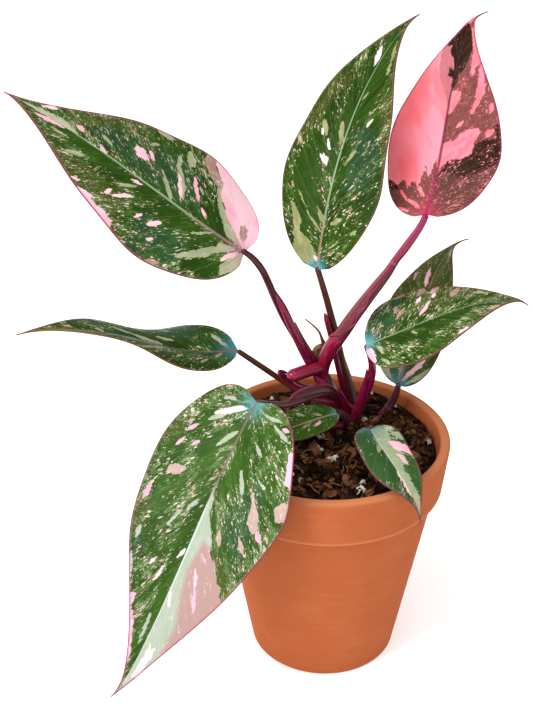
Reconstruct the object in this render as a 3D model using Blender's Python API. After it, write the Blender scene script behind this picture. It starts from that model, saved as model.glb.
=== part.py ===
# A variegated pink philodendron in a 13 cm terracotta pot.
# The pot stands on z = 0 with its axis on Z, and the plant's best side faces -Y.

import math

import bmesh
import bpy
from mathutils import Vector, noise

MM = 0.001
MERGE_DISTANCE = 0.00001

# Driving dimensions, in millimetres
CLEARANCE = 0.3
POT_HEIGHT = 132.4
RIM_RADIUS = 65.0
RIM_WALL = 6.0
RIM_ROUNDING = 1.8
COLLAR_HEIGHT = 27.7
COLLAR_FOOT_RADIUS = 62.3
BODY_TOP_RADIUS = 59.0
FOOT_RADIUS = 40.4
FOOT_ROUNDING = 1.2
FLOOR_THICKNESS = 8.0
FLOOR_INSIDE_RADIUS = 36.0
DRAIN_RADIUS = 5.0
DRAIN_CIRCLE_RADIUS = 20.0
DRAIN_COUNT = 3
DRAIN_SIDES = 16
POT_SIDES = 56
SOIL_HEIGHT = 122.5
SOIL_LUMP_SIZE = 12.0
SOIL_LUMP_REACH = 0.62
SOIL_LUMP_HEIGHT = 3.5
SOIL_SWELL_LENGTH = 34.0
SOIL_SWELL_HEIGHT = 2.0
SOIL_EDGE_WIDTH = 6.0
SOIL_RINGS = 12
SOIL_SIDES = 42
BLADE_THICKNESS = 0.8
BLADE_ROW_SPACING = 10.0
BLADE_LOBE_ROWS = 4
BLADE_COLUMNS = 3
BLADE_MERGE_DISTANCE = 0.05
VEIN_LEAN = 0.6
TIP_HOOK_START = 0.9

# Headings turn from +X toward +Y, and rises from level to upright, in degrees.
# Each of heading, rise and roll is given at the blade's base, middle and tip.
# A pair gives the left and the right half, seen from the tip's side with the face up.
# The hook is how far the last tenth of the tip turns sideways and upward.
STRAIGHT = (0, 0)
LEAVES = {
    "upper_left": dict(
        base=(-43.5, -4.8, 239.8), length=138, halves=(37, 38.5), heading=(171, 178, 152), rise=(32, 38, 17),
        roll=(6, 19, -8), fold=(-10, 14), camber=6, widest=(0.30, 0.24), lobe=0.05, shoulder=0.29,
        taper=(0.16, 0.19), sweep=0.30, hook=STRAIGHT, wave=1.1, waves=2.8, phase=0.56),
    "top": dict(
        base=(-6.4, 19.3, 219.3), length=145, halves=(31, 31), heading=(65, 54, 38), rise=(76, 55, 33),
        roll=(6, 8, -5), fold=(14, 16), camber=25, widest=(0.35, 0.33), lobe=0.04, shoulder=0.21,
        taper=(0.15, 0.18), sweep=0.32, hook=(-18, -4), wave=1.0, waves=3.0, phase=0.94),
    "pink": dict(
        base=(46.2, 9.6, 253.5), length=121, halves=(29.5, 30), heading=(63, 75, 52), rise=(47, 42, 41),
        roll=(20, -1, 4), fold=(-1, 11), camber=23, widest=(0.26, 0.25), lobe=0.03, shoulder=0.28,
        taper=(0.19, 0.20), sweep=0.31, hook=(-84, -16), wave=2.1, waves=2.7, phase=0.88),
    "narrow_left": dict(
        base=(-47.4, 15.0, 174.6), length=118, halves=(27, 31.5), heading=(185, 187, 169), rise=(-8, 17, -22),
        roll=(21, -17, 3), fold=(29, 28), camber=55, widest=(0.28, 0.35), lobe=0.02, shoulder=0.18,
        taper=(0.23, 0.28), sweep=0.36, hook=STRAIGHT, wave=0.9, waves=2.7, phase=0.62),
    "lower_left": dict(
        base=(-37.2, -29.8, 169.5), length=166, halves=(43.5, 41), heading=(217, 226, 219),
        rise=(-53, -55, -48), roll=(-6, 10, 30), fold=(2, 15), camber=13, widest=(0.26, 0.30), lobe=0.05,
        shoulder=0.35, taper=(0.15, 0.21), sweep=0.22, hook=(-8, 16), wave=1.7, waves=2.8, phase=0.71),
    "right": dict(
        base=(18.9, 5.1, 183.0), length=92, halves=(23.5, 24), heading=(-11, 7, 23), rise=(27, 18, -25),
        roll=(-23, -12, -3), fold=(16, 8), camber=22, widest=(0.26, 0.26), lobe=0.01, shoulder=0.24,
        taper=(0.22, 0.25), sweep=0.30, hook=(-3, -19), wave=0.5, waves=2.7, phase=0.81),
    "right_back": dict(
        base=(39.5, 29.1, 144.8), length=104, halves=(20.5, 21.5), heading=(51, 64, 42), rise=(58, 39, 0),
        roll=(-4, 13, 29), fold=(11, 23), camber=14, widest=(0.32, 0.31), lobe=0.01, shoulder=0.28,
        taper=(0.23, 0.26), sweep=0.39, hook=(-12, -4), wave=0.9, waves=2.8, phase=0.70),
    "small_centre": dict(
        base=(5.2, 9.5, 138.9), length=51, halves=(12.5, 12.5), heading=(201, 199, 197), rise=(-2, -11, -8),
        roll=(2, 7, 12), fold=(7, 12), camber=14, widest=(0.32, 0.31), lobe=0.08, shoulder=0.24,
        taper=(0.22, 0.22), sweep=0.34, hook=STRAIGHT, wave=0.4, waves=2.0, phase=0.41),
    "small_front": dict(
        base=(21.4, -17.4, 146.1), length=65, halves=(13, 14), heading=(276, 303, 333), rise=(9, -27, -86),
        roll=(0, -1, -3), fold=(22, 11), camber=17, widest=(0.33, 0.34), lobe=0.13, shoulder=0.23,
        taper=(0.21, 0.30), sweep=0.35, hook=STRAIGHT, wave=2.4, waves=1.5, phase=0.90),
}

# Each petiole runs from its root to its blade as (x, y, z, radius).
PETIOLES = {
    "pink": [
        (-0.3, 20, 151.5, 3.5), (-0.7, 18.5, 162, 3.8), (1.4, 17, 171.4, 3.8), (4.7, 16.2, 180, 3.8),
        (9.9, 15, 191.8, 3.3), (16.6, 14.2, 201.8, 3.0), (23.4, 13.5, 211.7, 2.7), (30.1, 12.7, 221.4, 2.4),
        (36.1, 12, 230.9, 2.0), (41.4, 11, 240.4, 1.8), (44.6, 10.2, 247.6, 1.8), (46.1, 9.7, 252.8, 1.8)],
    "upper_left": [
        (-0.8, 20.4, 156, 2.2), (-5.9, 20, 158.9, 2.3), (-9, 19.4, 163.5, 2.4), (-14.2, 17, 176.6, 2.3),
        (-19.5, 13.5, 188.5, 2.2), (-24.5, 10, 200.2, 2.1), (-28.8, 6, 211.3, 1.8), (-31.6, 3, 219.9, 1.6),
        (-36.1, -1, 229.3, 1.6), (-41.3, -4, 237.7, 1.6), (-42.6, -4.6, 239.2, 1.5)],
    "narrow_left": [
        (2.6, 22, 143.6, 1.6), (-3.3, 24, 142.4, 1.6), (-9.8, 24, 144, 1.6), (-15.9, 23, 147.1, 1.6),
        (-22.4, 21, 152.6, 1.6), (-31.6, 18.5, 161, 1.6), (-40.3, 16.2, 168.6, 1.5), (-47, 15.1, 173.9, 1.4)],
    "lower_left": [
        (5.4, 23, 138.3, 2.4), (3.6, 16.5, 146, 2.4), (-1.3, 11, 153, 2.4), (-8.7, 2, 157.1, 2.3),
        (-15.9, -8, 159.9, 2.2), (-23, -17, 162.6, 2.0), (-30.6, -25, 166, 1.8), (-36.7, -29.2, 168.9, 1.6)],
    "top": [
        (17.5, 38.5, 100, 2.6), (15.9, 38, 113.8, 2.6), (12.5, 37, 128.8, 2.5), (10, 34, 145.4, 2.3),
        (7.5, 31, 158.4, 2.1), (3.6, 27, 177.2, 1.9), (0.4, 24.5, 191.4, 1.8), (-1.5, 23, 200, 1.7),
        (-4.7, 20.5, 212.4, 1.7), (-6.2, 19.4, 218.8, 1.6)],
    "right": [
        (13, 26.3, 120.5, 2.8), (16.6, 25.4, 123.5, 2.9), (18, 24, 129.5, 2.9), (19.9, 21, 141.7, 2.6),
        (22.8, 16, 155.8, 2.2), (22.9, 11, 166.7, 2.0), (21.4, 7, 176.1, 1.6), (19.3, 5.2, 182.4, 1.4)],
    "right_back": [
        (25, 32, 100, 2.4), (27.6, 31, 117.5, 2.4), (30.7, 31, 123.4, 2.3), (35.9, 31, 130.5, 1.7),
        (38.9, 30, 135.6, 1.5), (39.6, 29.3, 143.8, 1.3)],
    "small_centre": [
        (15, 19, 106, 1.3), (13.8, 19, 120.5, 1.3), (10.2, 15, 130.8, 1.2), (6.1, 10.2, 138.4, 1.1)],
    "small_front": [
        (19, 20, 106, 1.5), (19, 18.5, 118.9, 1.5), (19.1, 9, 128.1, 1.4), (20.2, -2, 136.7, 1.3),
        (21.4, -12, 143.6, 1.3), (21.4, -16.5, 145.8, 1.2)],
}

# Strips of sheath that run up beside a petiole and end in a free tip
SHEATHS = {
    "upper_left": [[
        (-6.9, 20.8, 163.4, 1.6), (-11.3, 18.5, 175.1, 1.7), (-16.2, 15, 186.6, 1.6), (-21.3, 11, 198, 1.4),
        (-26.2, 7.2, 208.6, 1.0)]],
    "top": [
        [(12.2, 35, 128.2, 1.5), (8.9, 32, 145, 1.6), (5.2, 28.2, 162.3, 1.4), (0.9, 23.8, 181.8, 1.2),
         (-1.7, 21.6, 191.7, 0.5)],
        [(15.4, 38, 128.2, 1.2), (12.8, 35, 142.9, 1.3), (9.8, 32, 157.9, 1.0), (7.4, 30, 167.7, 0.4)]],
    "right": [[
        (16.2, 23.6, 127.1, 1.3), (18.2, 20, 141, 1.4), (20.6, 15.3, 153.3, 1.1), (20.4, 11.4, 163.3, 0.4)]],
}

STEM = [
    (14, 27, 98, 3.6), (12.6, 26.3, 121, 3.8), (7.3, 24.5, 132.6, 4.0), (2.8, 21.5, 143.9, 4.1),
    (-0.2, 20, 153, 4.1), (-0.7, 20, 157, 2.4)]
SIDE_SHOOT = [
    (-0.5, 20, 156, 2.4), (-4.5, 17, 162, 2.8), (-10.4, 14, 162.6, 2.9), (-15.8, 11, 162.1, 3.0),
    (-18.6, 9.4, 161.6, 2.9), (-20.4, 8.4, 161.2, 2.1), (-21.3, 7.9, 161, 0.8)]
DRY_SHEATH = [
    (-1.6, 21.5, 157, 1.8), (-3.6, 24.6, 162.5, 2.4), (-4.8, 25.4, 167.9, 3.1), (-3.2, 25, 171.8, 1.5),
    (-4.0, 25, 177.7, 1.0), (-7.2, 24, 183.6, 0.8), (-11.0, 23, 188.3, 0.4)]

# Short red scales that stand out from the foot of the stem, each a narrow folded blade
SCALE_FORM = dict(
    roll=(0, 0, 0), fold=(36, 36), camber=70, widest=(0.42, 0.42), lobe=0.0, shoulder=0.3,
    taper=(0.3, 0.3), sweep=0.33, hook=STRAIGHT, wave=0.0, waves=1.0, phase=0.0)
SCALES = {
    "scale_upper": dict(
        base=(6.0, 23.7, 136.0), length=24, halves=(2.8, 2.8), heading=(214, 213, 212), rise=(34, 31, 25),
        **SCALE_FORM),
    "scale_lower": dict(
        base=(12.1, 25.0, 122.8), length=18, halves=(2.8, 2.8), heading=(238, 234, 228), rise=(20, 16, 10),
        **SCALE_FORM),
}


def finish(name, red, green, blue, roughness):
    material = bpy.data.materials.new(name)
    material.use_nodes = True
    shader = material.node_tree.nodes["Principled BSDF"]
    shader.inputs["Base Color"].default_value = (red, green, blue, 1.0)
    shader.inputs["Roughness"].default_value = roughness
    shader.inputs["Metallic"].default_value = 0.0
    return material


def add_object(name, mesh, material=None):
    thing = bpy.data.objects.new(name, mesh)
    bpy.context.collection.objects.link(thing)
    if material:
        mesh.materials.clear()
        mesh.materials.append(material)
    return thing


def bake(thing):
    # Replaces the object's data by the mesh that its modifiers make.
    graph = bpy.context.evaluated_depsgraph_get()
    mesh = bpy.data.meshes.new_from_object(thing.evaluated_get(graph), depsgraph=graph)
    thing.modifiers.clear()
    thing.data = mesh


def clean(thing):
    # Merges points closer than a hundredth of a millimetre.
    shape = bmesh.new()
    shape.from_mesh(thing.data)
    bmesh.ops.dissolve_degenerate(shape, edges=shape.edges, dist=MERGE_DISTANCE)
    shape.to_mesh(thing.data)
    shape.free()


def combine(thing, others, operation):
    # Unites the object with the others or cuts them out of it, and removes them.
    for other in others:
        modifier = thing.modifiers.new(operation.title(), "BOOLEAN")
        modifier.operation = operation
        modifier.solver = "EXACT"
        modifier.object = other
        bake(thing)
        bpy.data.objects.remove(other)
    clean(thing)


def tube(name, route, material=None, grow=0.0):
    # A round stem along (x, y, z, radius) points, made larger by grow all round and at both ends.
    first, second, *_, before, last = [Vector(knot[:3]) for knot in route]
    starts = {0: first + (first - second).normalized() * grow,
              len(route) - 1: last + (last - before).normalized() * grow}
    curve = bpy.data.curves.new(name, "CURVE")
    curve.dimensions = "3D"
    curve.bevel_depth = MM
    curve.bevel_resolution = 2
    curve.use_fill_caps = True
    spline = curve.splines.new("BEZIER")
    spline.resolution_u = 2
    spline.radius_interpolation = "CARDINAL"
    spline.bezier_points.add(len(route) - 1)
    for index, (x, y, z, radius) in enumerate(route):
        knot = spline.bezier_points[index]
        knot.co = starts.get(index, Vector((x, y, z))) * MM
        knot.radius = radius + grow
        knot.handle_left_type = "AUTO"
        knot.handle_right_type = "AUTO"
    source = bpy.data.objects.new(name, curve)
    bpy.context.collection.objects.link(source)
    graph = bpy.context.evaluated_depsgraph_get()
    mesh = bpy.data.meshes.new_from_object(source.evaluated_get(graph), depsgraph=graph)
    bpy.data.objects.remove(source)
    shape = bmesh.new()
    shape.from_mesh(mesh)
    bmesh.ops.remove_doubles(shape, verts=shape.verts, dist=MERGE_DISTANCE)
    bmesh.ops.recalc_face_normals(shape, faces=shape.faces)
    shape.to_mesh(mesh)
    shape.free()
    return add_object(name, mesh, material)


def petiole(name, material, grow=0.0):
    # A leaf stalk with the strips of its sheath.
    thing = tube("petiole_" + name, PETIOLES[name], material, grow)
    strips = [tube("strip", route, None, grow) for route in SHEATHS.get(name, [])]
    combine(thing, strips, "UNION")
    return thing


def stem_solid(name, material, grow=0.0):
    # The main stem with its young side shoot and the scales at its foot.
    thing = tube(name, STEM, material, grow)
    parts = [tube("shoot", SIDE_SHOOT, None, grow)]
    parts += [blade(scale, form, None, grow) for scale, form in SCALES.items()]
    combine(thing, parts, "UNION")
    return thing


def turned(name, profile, sides, material):
    # A closed solid of revolution from (radius, height) points that start and end on the axis.
    shape = bmesh.new()
    points = [shape.verts.new((radius * MM, 0.0, height * MM)) for radius, height in profile]
    edges = [shape.edges.new(pair) for pair in zip(points, points[1:])]
    bmesh.ops.spin(shape, geom=points + edges, cent=(0, 0, 0), axis=(0, 0, 1), angle=math.tau, steps=sides)
    bmesh.ops.remove_doubles(shape, verts=shape.verts, dist=MERGE_DISTANCE)
    bmesh.ops.recalc_face_normals(shape, faces=shape.faces)
    mesh = bpy.data.meshes.new(name)
    shape.to_mesh(mesh)
    shape.free()
    mesh.shade_smooth()
    mesh.set_sharp_from_angle(angle=math.radians(35))
    return add_object(name, mesh, material)


def arc(centre, radius, start, end, steps):
    # Points of an arc in the (radius, height) plane, its angles in degrees.
    angles = [math.radians(start + (end - start) * step / steps) for step in range(steps + 1)]
    return [(centre[0] + radius * math.cos(a), centre[1] + radius * math.sin(a)) for a in angles]


def inside_radius(height):
    # The radius of the pot's inner wall at a height above the floor.
    share = (height - FLOOR_THICKNESS) / (POT_HEIGHT - RIM_ROUNDING - FLOOR_THICKNESS)
    return FLOOR_INSIDE_RADIUS + (RIM_RADIUS - RIM_WALL - FLOOR_INSIDE_RADIUS) * share


def make_pot(material):
    collar_foot = POT_HEIGHT - COLLAR_HEIGHT
    shoulder = POT_HEIGHT - RIM_ROUNDING
    outer = (RIM_RADIUS - RIM_ROUNDING, shoulder)
    inner = (RIM_RADIUS - RIM_WALL + RIM_ROUNDING, shoulder)
    profile = [(0, 0)]
    profile += arc((FOOT_RADIUS - FOOT_ROUNDING, FOOT_ROUNDING), FOOT_ROUNDING, -90, 0, 2)
    profile += [(BODY_TOP_RADIUS, collar_foot), (COLLAR_FOOT_RADIUS - 0.6, collar_foot)]
    profile += [(COLLAR_FOOT_RADIUS, collar_foot + 0.6)]
    profile += arc(outer, RIM_ROUNDING, 0, 90, 3)
    profile += arc(inner, RIM_ROUNDING, 90, 180, 3)
    profile += [(FLOOR_INSIDE_RADIUS, FLOOR_THICKNESS), (0, FLOOR_THICKNESS)]
    pot = turned("pot", profile, POT_SIDES, material)
    for index in range(DRAIN_COUNT):
        angle = math.tau * (index + 0.25) / DRAIN_COUNT
        centre = Vector((math.cos(angle), math.sin(angle), 0)) * DRAIN_CIRCLE_RADIUS * MM
        bpy.ops.mesh.primitive_cylinder_add(
            vertices=DRAIN_SIDES, radius=DRAIN_RADIUS * MM, depth=4 * FLOOR_THICKNESS * MM, location=centre)
        combine(pot, [bpy.context.object], "DIFFERENCE")
    return pot


def soil_height(x, y):
    # The crumbly surface: rounded lumps of bark and compost on gently rolling ground, in millimetres.
    distances, _ = noise.voronoi(Vector((x, y, 0)) / SOIL_LUMP_SIZE)
    lump = max(0.0, 1.0 - (distances[0] / SOIL_LUMP_REACH) ** 2)
    swell = noise.noise(Vector((x, y, 40)) / SOIL_SWELL_LENGTH)
    edge = min(1.0, (inside_radius(SOIL_HEIGHT) - math.hypot(x, y)) / SOIL_EDGE_WIDTH)
    return SOIL_HEIGHT + SOIL_LUMP_HEIGHT * lump * (1 + edge) / 2 + SOIL_SWELL_HEIGHT * swell


def make_soil(material, stands):
    top = inside_radius(SOIL_HEIGHT) - CLEARANCE
    bottom = FLOOR_INSIDE_RADIUS - CLEARANCE
    profile = [(0, FLOOR_THICKNESS + CLEARANCE), (bottom, FLOOR_THICKNESS + CLEARANCE), (top, SOIL_HEIGHT)]
    profile += [(top * (1 - ring / SOIL_RINGS), SOIL_HEIGHT) for ring in range(1, SOIL_RINGS + 1)]
    soil = turned("soil", profile, SOIL_SIDES, material)
    for vertex in soil.data.vertices:
        x, y = vertex.co.x / MM, vertex.co.y / MM
        if vertex.co.z > (SOIL_HEIGHT - 0.1) * MM and math.hypot(x, y) < top - 0.1:
            vertex.co.z = soil_height(x, y) * MM
    shape = bmesh.new()
    shape.from_mesh(soil.data)
    bmesh.ops.triangulate(shape, faces=shape.faces)
    shape.to_mesh(soil.data)
    shape.free()
    combine(soil, stands, "DIFFERENCE")
    return soil


def through(values, share):
    # The quadratic through three values at shares 0, 0.5 and 1.
    first, middle, last = values
    return (first * (1 - share) * (1 - 2 * share) + middle * 4 * share * (1 - share)
            + last * share * (2 * share - 1))


def midrib_frames(leaf, steps=48):
    # Places along the midrib, each with its forward, sideways and upward directions.
    frames = []
    place = Vector(leaf["base"])
    stride = leaf["length"] / steps
    for step in range(steps + 1):
        share = step / steps
        turn = max(0.0, (share - TIP_HOOK_START) / (1 - TIP_HOOK_START))
        heading = math.radians(through(leaf["heading"], share) + leaf["hook"][0] * turn)
        rise = math.radians(through(leaf["rise"], share) + leaf["hook"][1] * turn)
        roll = math.radians(through(leaf["roll"], share))
        level = Vector((math.sin(heading), -math.cos(heading), 0))
        ahead = Vector((math.cos(heading), math.sin(heading), 0))
        forward = ahead * math.cos(rise) + Vector((0, 0, math.sin(rise)))
        above = level.cross(forward)
        sideways = level * math.cos(roll) + above * math.sin(roll)
        upward = above * math.cos(roll) - level * math.sin(roll)
        if frames:
            place = place + (forward + frames[-1][1]) * stride / 2
        frames.append((place, forward, sideways, upward))
    return frames


def blade_point(leaf, frames, x, y, side):
    # The place of a flat point, x along the midrib and y out from it, on the bent blade.
    position = min(max(x / leaf["length"], 0), 1) * (len(frames) - 1)
    index = min(int(position), len(frames) - 2)
    blend = position - index
    place, forward, sideways, upward = (
        low.lerp(high, blend) for low, high in zip(frames[index], frames[index + 1]))
    half = leaf["halves"][side > 0]
    fold = math.radians(leaf["fold"][side > 0])
    camber = math.radians(leaf["camber"])
    out = y / half
    reach = (math.sin(fold) - math.sin(fold - camber * out)) / camber * half
    lift = (math.cos(fold - camber * out) - math.cos(fold)) / camber * half
    cycle = leaf["waves"] * x / leaf["length"] + leaf["phase"] + 0.25 * (side < 0)
    lift += leaf["wave"] * out * out * math.sin(math.tau * cycle)
    return place + forward * min(x, 0) + sideways * side * reach + upward * lift


def bezier(first, second, third, last, share):
    rest = 1 - share
    return tuple(
        rest ** 3 * a + 3 * rest ** 2 * share * b + 3 * rest * share ** 2 * c + share ** 3 * d
        for a, b, c, d in zip(first, second, third, last))


def blade_margin(leaf, side, lobe_rows, blade_rows):
    # One side's margin, from the notch at the stalk round the lobe to the tip.
    length, half, widest = leaf["length"], leaf["halves"][side > 0], leaf["widest"][side > 0]
    shoulder = (widest * length, half)
    lobe = ((0, 0), (-2.7 * leaf["lobe"] * half, 0.2 * half),
            ((widest - leaf["shoulder"]) * length, half), shoulder)
    sweep = (shoulder, ((widest + leaf["sweep"]) * length, half),
             (length * (1 - leaf["taper"][side > 0]), 0.06 * half), (length, 0))
    notch = 0.25
    shares = [notch + (1 - notch) * row / lobe_rows for row in range(lobe_rows)]
    margin = [bezier(*lobe, share) for share in shares]
    return margin + [bezier(*sweep, row / blade_rows) for row in range(blade_rows + 1)]


def blade(name, leaf, material=None, grow=0.0):
    # A thin closed blade whose rows follow the side veins from the midrib to the margin.
    leaf = {**leaf, "halves": [half + grow for half in leaf["halves"]], "length": leaf["length"] + grow}
    frames = midrib_frames(leaf)
    blade_rows = max(5, round(leaf["length"] / BLADE_ROW_SPACING))
    margins = {side: blade_margin(leaf, side, BLADE_LOBE_ROWS, blade_rows) for side in (-1, 1)}
    starts = [sum(max(0.0, x - VEIN_LEAN * y) for x, y in pair) / 2 for pair in zip(*margins.values())]
    shares = [column / BLADE_COLUMNS for column in range(BLADE_COLUMNS + 1)]
    shape = bmesh.new()
    for side, margin in margins.items():
        rows = []
        for start, (x, y) in zip(starts, margin):
            flat = [(start + (x - start) * share, y * share) for share in shares]
            rows.append([shape.verts.new(blade_point(leaf, frames, *spot, side) * MM) for spot in flat])
        for near, far in zip(rows, rows[1:]):
            for a, b, c, d in zip(near, near[1:], far[1:], far):
                shape.faces.new((a, b, c, d) if side > 0 else (d, c, b, a))
    bmesh.ops.remove_doubles(shape, verts=shape.verts, dist=BLADE_MERGE_DISTANCE * MM)
    bmesh.ops.triangulate(shape, faces=shape.faces)
    mesh = bpy.data.meshes.new(name)
    shape.to_mesh(mesh)
    shape.free()
    mesh.shade_smooth()
    thing = add_object(name, mesh, material)
    solid = thing.modifiers.new("Thickness", "SOLIDIFY")
    solid.thickness = (BLADE_THICKNESS + 2 * grow) * MM
    solid.offset = 0.0
    bake(thing)
    return thing


def make_plant():
    stalk_red = finish("Petiole skin, crimson", 0.25, 0.01, 0.04, 0.35)
    stem_red = finish("Stem skin, dark maroon", 0.12, 0.01, 0.03, 0.4)
    leaf_green = finish("Leaf, variegated green", 0.05, 0.14, 0.03, 0.45)
    leaf_pink = finish("Leaf, variegated pink", 0.72, 0.22, 0.28, 0.45)
    dry_brown = finish("Dried sheath, brown", 0.22, 0.1, 0.05, 0.8)

    stem_solid("stem", stem_red)
    for name in PETIOLES:
        petiole(name, stalk_red)
    tube("dry_sheath", DRY_SHEATH, dry_brown)

    # What grows from the stem is hollowed at its root to sit round what it grows from.
    seats = {"petiole_pink": [], "petiole_upper_left": ["pink"], "petiole_narrow_left": [],
             "petiole_lower_left": ["narrow_left"], "petiole_right": [], "dry_sheath": ["pink", "upper_left"]}
    for name, neighbours in seats.items():
        cutters = [stem_solid("seat", None, CLEARANCE)]
        cutters += [petiole(neighbour, None, CLEARANCE) for neighbour in neighbours]
        combine(bpy.data.objects[name], cutters, "DIFFERENCE")

    for name, leaf in LEAVES.items():
        thing = blade("leaf_" + name, leaf, leaf_pink if name == "pink" else leaf_green)
        combine(thing, [petiole(name, None, CLEARANCE)], "DIFFERENCE")


def main():
    for thing in list(bpy.data.objects):
        bpy.data.objects.remove(thing)
    make_pot(finish("Terracotta", 0.58, 0.19, 0.07, 0.85))
    make_plant()
    stands = [stem_solid("hole", None, CLEARANCE)]
    stands += [petiole(name, None, CLEARANCE) for name in PETIOLES]
    make_soil(finish("Potting soil", 0.03, 0.018, 0.012, 0.95), stands)


main()
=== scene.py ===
import math
import random

import bmesh
import bpy
from mathutils import Euler, Matrix, Vector, noise


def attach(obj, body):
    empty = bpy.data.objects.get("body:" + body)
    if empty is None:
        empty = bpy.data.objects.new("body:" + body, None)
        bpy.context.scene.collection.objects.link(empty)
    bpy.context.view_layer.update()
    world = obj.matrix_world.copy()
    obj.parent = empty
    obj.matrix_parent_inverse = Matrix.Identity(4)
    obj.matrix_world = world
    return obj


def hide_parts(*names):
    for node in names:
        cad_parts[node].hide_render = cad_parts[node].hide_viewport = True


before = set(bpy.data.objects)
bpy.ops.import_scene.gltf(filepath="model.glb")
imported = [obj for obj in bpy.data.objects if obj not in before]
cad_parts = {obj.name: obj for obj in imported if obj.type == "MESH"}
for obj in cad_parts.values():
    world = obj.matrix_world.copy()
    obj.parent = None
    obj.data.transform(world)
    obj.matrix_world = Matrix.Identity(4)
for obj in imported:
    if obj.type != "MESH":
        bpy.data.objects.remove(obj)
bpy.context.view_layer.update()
mm = 0.001


# Small tools that every piece uses

def colour(code):
    # linear colour from an sRGB hex value
    parts = [int(code[place:place + 2], 16) / 255 for place in (1, 3, 5)]
    return tuple(c / 12.92 if c <= 0.04045 else ((c + 0.055) / 1.055) ** 2.4 for c in parts) + (1.0,)


def toward(code, other, share):
    # the hex value a share of the way from one to another
    pairs = [(int(code[place:place + 2], 16), int(other[place:place + 2], 16)) for place in (1, 3, 5)]
    return "#" + "".join("%02x" % round(a + (b - a) * share) for a, b in pairs)


def addNode(tree, kind, settings=None, inputs=None):
    node = tree.nodes.new(kind)
    for name, value in (settings or {}).items():
        setattr(node, name, value)
    for socket, value in (inputs or {}).items():
        if isinstance(value, bpy.types.NodeSocket):
            tree.links.new(value, node.inputs[socket])
        else:
            node.inputs[socket].default_value = value
    return node


def newMaterial(name, roughness, ior=1.4, coat=0.0):
    material = bpy.data.materials.new(name)
    material.use_nodes = True
    shader = material.node_tree.nodes["Principled BSDF"]
    shader.inputs["Roughness"].default_value = roughness
    shader.inputs["IOR"].default_value = ior
    shader.inputs["Coat Weight"].default_value = coat
    shader.inputs["Coat Roughness"].default_value = 0.12
    return material, material.node_tree, shader


def addPiece(name, shape, materials, slot, *nodes):
    # a finished bmesh as a piece that rides on the root and stands for CAD nodes
    mesh = bpy.data.meshes.new(name)
    shape.to_mesh(mesh)
    shape.free()
    for material in materials:
        mesh.materials.append(material)
    mesh.shade_smooth()
    piece = bpy.data.objects.new(name, mesh)
    bpy.context.collection.objects.link(piece)
    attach(piece, "root")
    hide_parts(*nodes)
    return piece


def through(values, share):
    # the quadratic through three values at shares 0, 0.5 and 1
    first, middle, last = values
    return (first * (1 - share) * (1 - 2 * share) + middle * 4 * share * (1 - share)
            + last * share * (2 * share - 1))


def ease(low, high, value):
    share = min(max((value - low) / (high - low), 0.0), 1.0)
    return share * share * (3 - 2 * share)


# Camera, floor and light

studio = dict(
    camera=(-32.4, -578.8, 500.5), lookDown=29.0, lens=65.2, floorSize=14000,
    world=0.70, paperGlow=0.30, keyPlace=(-1300, -800, 1150), keySize=1000, keyPower=27.0,
    topPlace=(-100, -500, 1600), topSize=1500, topPower=11.0)


def makeStudio():
    scene = bpy.context.scene
    scene.view_settings.view_transform = "Standard"

    lens = bpy.data.cameras.new("camera")
    lens.lens = studio["lens"]
    lens.clip_end = 50
    camera = bpy.data.objects.new("camera", lens)
    camera.location = Vector(studio["camera"]) * mm
    camera.rotation_euler = (math.radians(90 - studio["lookDown"]), 0, 0)
    scene.collection.objects.link(camera)
    scene.camera = camera

    for name in ("key", "top"):
        lamp = bpy.data.lights.new(name, "AREA")
        lamp.size = studio[name + "Size"] * mm
        lamp.energy = studio[name + "Power"]
        light = bpy.data.objects.new(name, lamp)
        light.location = Vector(studio[name + "Place"]) * mm
        aim = Vector((0, 0, 150)) * mm - light.location
        light.rotation_euler = aim.to_track_quat("-Z", "Y").to_euler()
        scene.collection.objects.link(light)

    world = bpy.data.worlds.new("studio")
    world.use_nodes = True
    world.node_tree.nodes["Background"].inputs["Color"].default_value = (1, 1, 1, 1)
    world.node_tree.nodes["Background"].inputs["Strength"].default_value = studio["world"]
    scene.world = world

    # seamless white paper
    shape = bmesh.new()
    bmesh.ops.create_grid(shape, x_segments=1, y_segments=1, size=studio["floorSize"] * mm / 2)
    bmesh.ops.translate(shape, vec=(0, 0, -0.3 * mm), verts=shape.verts)
    mesh = bpy.data.meshes.new("floor")
    shape.to_mesh(mesh)
    shape.free()
    material, tree, shader = newMaterial("Matt white paper", 1.0, 1.01)
    shader.inputs["Base Color"].default_value = colour("#fdfdfd")
    shader.inputs["Emission Color"].default_value = (1, 1, 1, 1)   # a lit table under the paper
    shader.inputs["Emission Strength"].default_value = studio["paperGlow"]
    mesh.materials.append(material)
    floor = bpy.data.objects.new("floor", mesh)
    scene.collection.objects.link(floor)
    print("studio: camera, two soft lights, white floor")


# The pot: unglazed red clay, turned and fired. It is matt, with faint bands from the throwing,
# cloudy lighter and darker patches, painted highlights on its edges and painted shade inside.

pot = dict(
    height=132.4, rimRadius=65.0, wall=5.4, rimRounding=1.8, collarHeight=27.7, collarFoot=62.3,
    bodyTop=59.0, foot=40.4, footRounding=1.2, floor=8.0, floorInside=36.0, sides=176,
    drainRadius=5.0, drainCircle=20.0, drains=3, turning=0.10, turningPitch=3.2,
    clay="#ac5b35", pale="#c47c53", dark="#954a29", inside="#7c3f24")


def arcPoints(centre, radius, start, end, steps):
    angles = [math.radians(start + (end - start) * step / steps) for step in range(steps + 1)]
    return [(centre[0] + radius * math.cos(a), centre[1] + radius * math.sin(a)) for a in angles]


def runPoints(start, end, steps):
    # evenly spaced points between two, without the first
    return [tuple(a + (b - a) * step / steps for a, b in zip(start, end)) for step in range(1, steps + 1)]


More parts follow.
